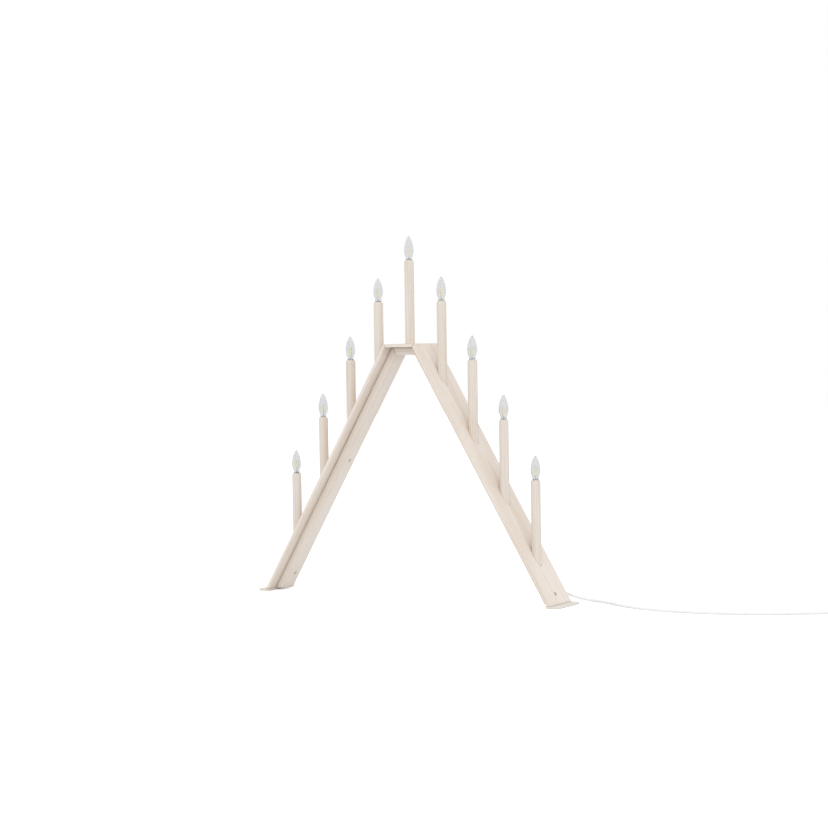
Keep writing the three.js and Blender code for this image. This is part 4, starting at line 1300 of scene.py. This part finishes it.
class CANDLESTICK_OT_bulbs(Operator):
    """Make the clear screw-in bulbs with their LED filaments"""
    bl_idname = "candlestick.bulbs"
    bl_label = "Bulbs"

    def execute(self, context):
        settings = context.scene.candlestick_bulb
        brass = metal_material("Plated screw cap", settings.cap, tarnish=(0.58, 0.5, 0.38),
                               roughness=0.24)
        insulator = plastic_material("Black cap insulator", (0.03, 0.03, 0.03), roughness=0.3,
                                     dust=0.05)
        # The filament's coat gets a painted glow of its own colour
        coat = plastic_material("LED filament coat", settings.filament, roughness=0.5, dust=0,
                                bump_depth=0.00005, shine=settings.painted_filament_glow)
        wire = metal_material("Filament wires", (0.6, 0.57, 0.52), tarnish=(0.35, 0.32, 0.28),
                              roughness=0.25)
        stem = plastic_material("Pressed glass stem", (0.84, 0.85, 0.85), roughness=0.12, dust=0)
        glass = glass_material()
        drawn = np.random.default_rng(BULB_SEED)
        for name in CANDLES:
            turn = drawn.uniform(0, 2 * math.pi)
            for kind, bm, materials, nodes in (
                ("cap", self.cap(), [brass, insulator], [f"bulb_cap_{name}"]),
                ("filament", self.filament(), [coat, wire, stem], ()),
                ("glass", self.glass(settings.glass_wall / MM), [glass], [f"bulb_glass_{name}"]),
            ):
                piece(f"lamp_{kind}_{name}", moved(bm, candle_place(name), turn), materials,
                      nodes, f"bulb_{name}")
        return {"FINISHED"}

    def cap(self):
        """The threaded shell with its cup, the insulator, and the contact under it"""
        low = CAP_BOTTOM + 2.6
        bore = CAP_RADIUS - CAP_WALL
        shell = turned([
            (0, low + 0.2), (CAP_RADIUS - 0.9, low), (CAP_RADIUS - 0.45, low + 0.35),
            *thread_rows(CAP_RADIUS, low + 0.6, -0.6), (CAP_RADIUS, CAP_TOP - 0.12),
            (CAP_RADIUS - 0.1, CAP_TOP), (bore + 0.08, CAP_TOP), (bore, CAP_TOP - 0.1),
            (bore, CUP_FLOOR), (0, CUP_FLOOR),
        ], ROUND_SIDES, thread(CAP_RADIUS, low + 0.6, -0.8))
        insulator = turned([(0, low + 0.3), (3.9, low + 0.1), (3.6, low - 0.5), (2.4, low - 1.4),
                            (1.7, CAP_BOTTOM + 0.9), (0, CAP_BOTTOM + 0.9)], GLAND_SIDES)
        contact = turned([(0, CAP_BOTTOM + 1.2), (1.6, CAP_BOTTOM + 1.1), (1.6, CAP_BOTTOM + 0.5),
                          (1.1, CAP_BOTTOM + 0.1), (0, CAP_BOTTOM)], SLIM_SIDES)
        return joined((shell, 0), (insulator, 1), (contact, 0))

    def filament(self):
        """The LED filament on its two wires, and the glass stem that holds them"""
        low, high = STEM_TOP, FILAMENT_TOP
        section = oval(1.5, 0.9, 24, 0.55, 0.75)
        coat = loft([[(u * size, v * size, z) for u, v in section] for z, size in (
            (low + 0.6, 0.55), (low + 0.75, 0.85), (low + 1.05, 1),
            (high - 1.05, 1), (high - 0.75, 0.85), (high - 0.6, 0.55))])
        wires = []
        for path in (
            [(0.7, 0, CUP_FLOOR), (0.72, 0, 2), (0.5, 0, 5), (0, 0, 6.2), (0, 0, low + 0.9)],
            [(-0.7, 0, CUP_FLOOR), (-0.85, 0.3, 3), (-1.75, 0.7, 6.4), (-2.0, 0.8, 12),
             (-1.8, 0.7, 18.5), (-1.1, 0.3, 20.2), (-0.2, 0, 20.1), (0, 0, high - 0.9)],
        ):
            wires.append(sweep(curve_through(path, 6), circle(0.17, 8), Vector((0.01, 1, 0))))
        stem = turned([(0, CUP_FLOOR), (3.1, CUP_FLOOR), (3.1, CUP_FLOOR + 0.3),
                       (2.2, CUP_FLOOR + 1.2), (STEM_RADIUS, 0.6), (1.15, 3), (1.2, 4.2),
                       (0.95, 5.1), (0.4, 5.6), (0, 5.7)], SLIM_SIDES)
        return joined((coat, 0), (wires[0], 1), (wires[1], 1), (stem, 2))

    def glass(self, wall):
        """A flame-shaped envelope with a drawn tip that is thicker than its wall"""
        outside = [(point.x, point.z) for point in
                   curve_through([(r, 0, z) for r, z in GLASS_OUTLINE], 5)]
        inside = []
        for (r0, z0), (r1, z1) in zip(outside, outside[1:]):
            run, rise = r1 - r0, z1 - z0
            tip = max(0, (z1 - TIP_START) / TIP_LENGTH)
            deep = wall * (1 + TIP_GAIN * tip**2) / (math.hypot(run, rise) or 1)
            r, z = r1 - rise * deep, z1 + run * deep
            if r > 0.05 and (not inside or z > inside[-1][1] + 0.02):
                inside.append((r, z))
        foot = (GLASS_OUTLINE[0][0] - wall, GLASS_OUTLINE[0][1])
        peak = (0, inside[-1][1] + inside[-1][0] * 0.8)
        return turned([foot, *outside, peak, *reversed(inside), foot])


class CANDLESTICK_OT_screws(Operator):
    """Drive the cross-head screws that hold the channels and the feet"""
    bl_idname = "candlestick.screws"
    bl_label = "Screws"

    def execute(self, context):
        steel = metal_material("Zinc-plated screws", context.scene.candlestick_cord.screw,
                               tarnish=(0.16, 0.15, 0.14), roughness=0.3)
        for _, side in SIDES:
            for name, stands_for, length, place in screw_places(side):
                piece(name, into_leg(self.screw(length), *place), [steel], [stands_for],
                      cutters=[into_leg(self.recess(), *place)])
        return {"FINISHED"}

    def screw(self, length):
        """A pan-head screw from z = 0 at the head's top down to its point"""
        head, shank = SCREW_HEAD_RADIUS, SCREW_SHANK_RADIUS
        return turned([
            (0, 0), (1.2, -0.05), (2.0, -0.2), (2.5, -0.5), (head, -1.0), (head, -1.45),
            (head - 0.15, -SCREW_HEAD_HEIGHT), (shank, -SCREW_HEAD_HEIGHT),
            (shank, -length + 2.4), (0.25, -length + 0.1), (0, -length),
        ], SLIM_SIDES)

    def recess(self):
        """The tapered cross that a driver fits"""
        top, foot, arm = 1.6, 0.6, 0.36
        cross = []
        for quarter in range(4):
            turn = Matrix.Rotation(quarter * math.pi / 2, 2)
            cross += [turn @ Vector(point) for point in ((top, -arm), (top, arm), (arm, arm))]

        def taper(u, v, z):
            share = 1 if z > 0 else foot / top
            return (u * share if abs(u) > foot else u, v * share if abs(v) > foot else v, z)
        return prism(cross, -1.15, 0.5, taper)


class CANDLESTICK_OT_wiring(Operator):
    """Give the wires in the channels their sheath"""
    bl_idname = "candlestick.wiring"
    bl_label = "Wiring"

    def execute(self, context):
        sheath = plastic_material("Wire sheath", context.scene.candlestick_cord.sheath,
                                  roughness=0.45)
        for name in ("top_wiring", "left_wiring", "right_wiring"):
            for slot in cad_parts[name].material_slots:
                slot.material = sheath
        return {"FINISHED"}


OPERATORS = (
    CANDLESTICK_OT_stage, CANDLESTICK_OT_cord, CANDLESTICK_OT_boards, CANDLESTICK_OT_channels,
    CANDLESTICK_OT_feet, CANDLESTICK_OT_candles, CANDLESTICK_OT_sockets, CANDLESTICK_OT_bulbs,
    CANDLESTICK_OT_screws, CANDLESTICK_OT_wiring,
)
SETTINGS = (
    ("candlestick_wood", WoodSettings), ("candlestick_bulb", BulbSettings),
    ("candlestick_cord", CordSettings), ("candlestick_studio", StudioSettings),
)


class CANDLESTICK_PT_making(Panel):
    """The candlestick's settings and the steps that make it"""
    bl_label = "Window Candlestick"
    bl_space_type = "VIEW_3D"
    bl_region_type = "UI"
    bl_category = "Candlestick"

    def draw(self, context):
        for name, kind in SETTINGS:
            box = self.layout.box()
            for setting in kind.__annotations__:
                box.prop(getattr(context.scene, name), setting)
        for step in OPERATORS:
            self.layout.operator(step.bl_idname)


def register():
    """Adds the settings, the operators and the panel to Blender"""
    for _, kind in SETTINGS:
        bpy.utils.register_class(kind)
    for name, kind in SETTINGS:
        setattr(bpy.types.Scene, name, PointerProperty(type=kind))
    for kind in (*OPERATORS, CANDLESTICK_PT_making):
        bpy.utils.register_class(kind)


def unregister():
    """Takes the settings, the operators and the panel out of Blender"""
    for kind in reversed((*OPERATORS, CANDLESTICK_PT_making)):
        bpy.utils.unregister_class(kind)
    for name, kind in reversed(SETTINGS):
        delattr(bpy.types.Scene, name)
        bpy.utils.unregister_class(kind)


def main():
    """Makes the candlestick"""
    register()
    for step in OPERATORS:
        family, name = step.bl_idname.split(".")
        getattr(getattr(bpy.ops, family), name)()


if __name__ == "__main__":
    main()
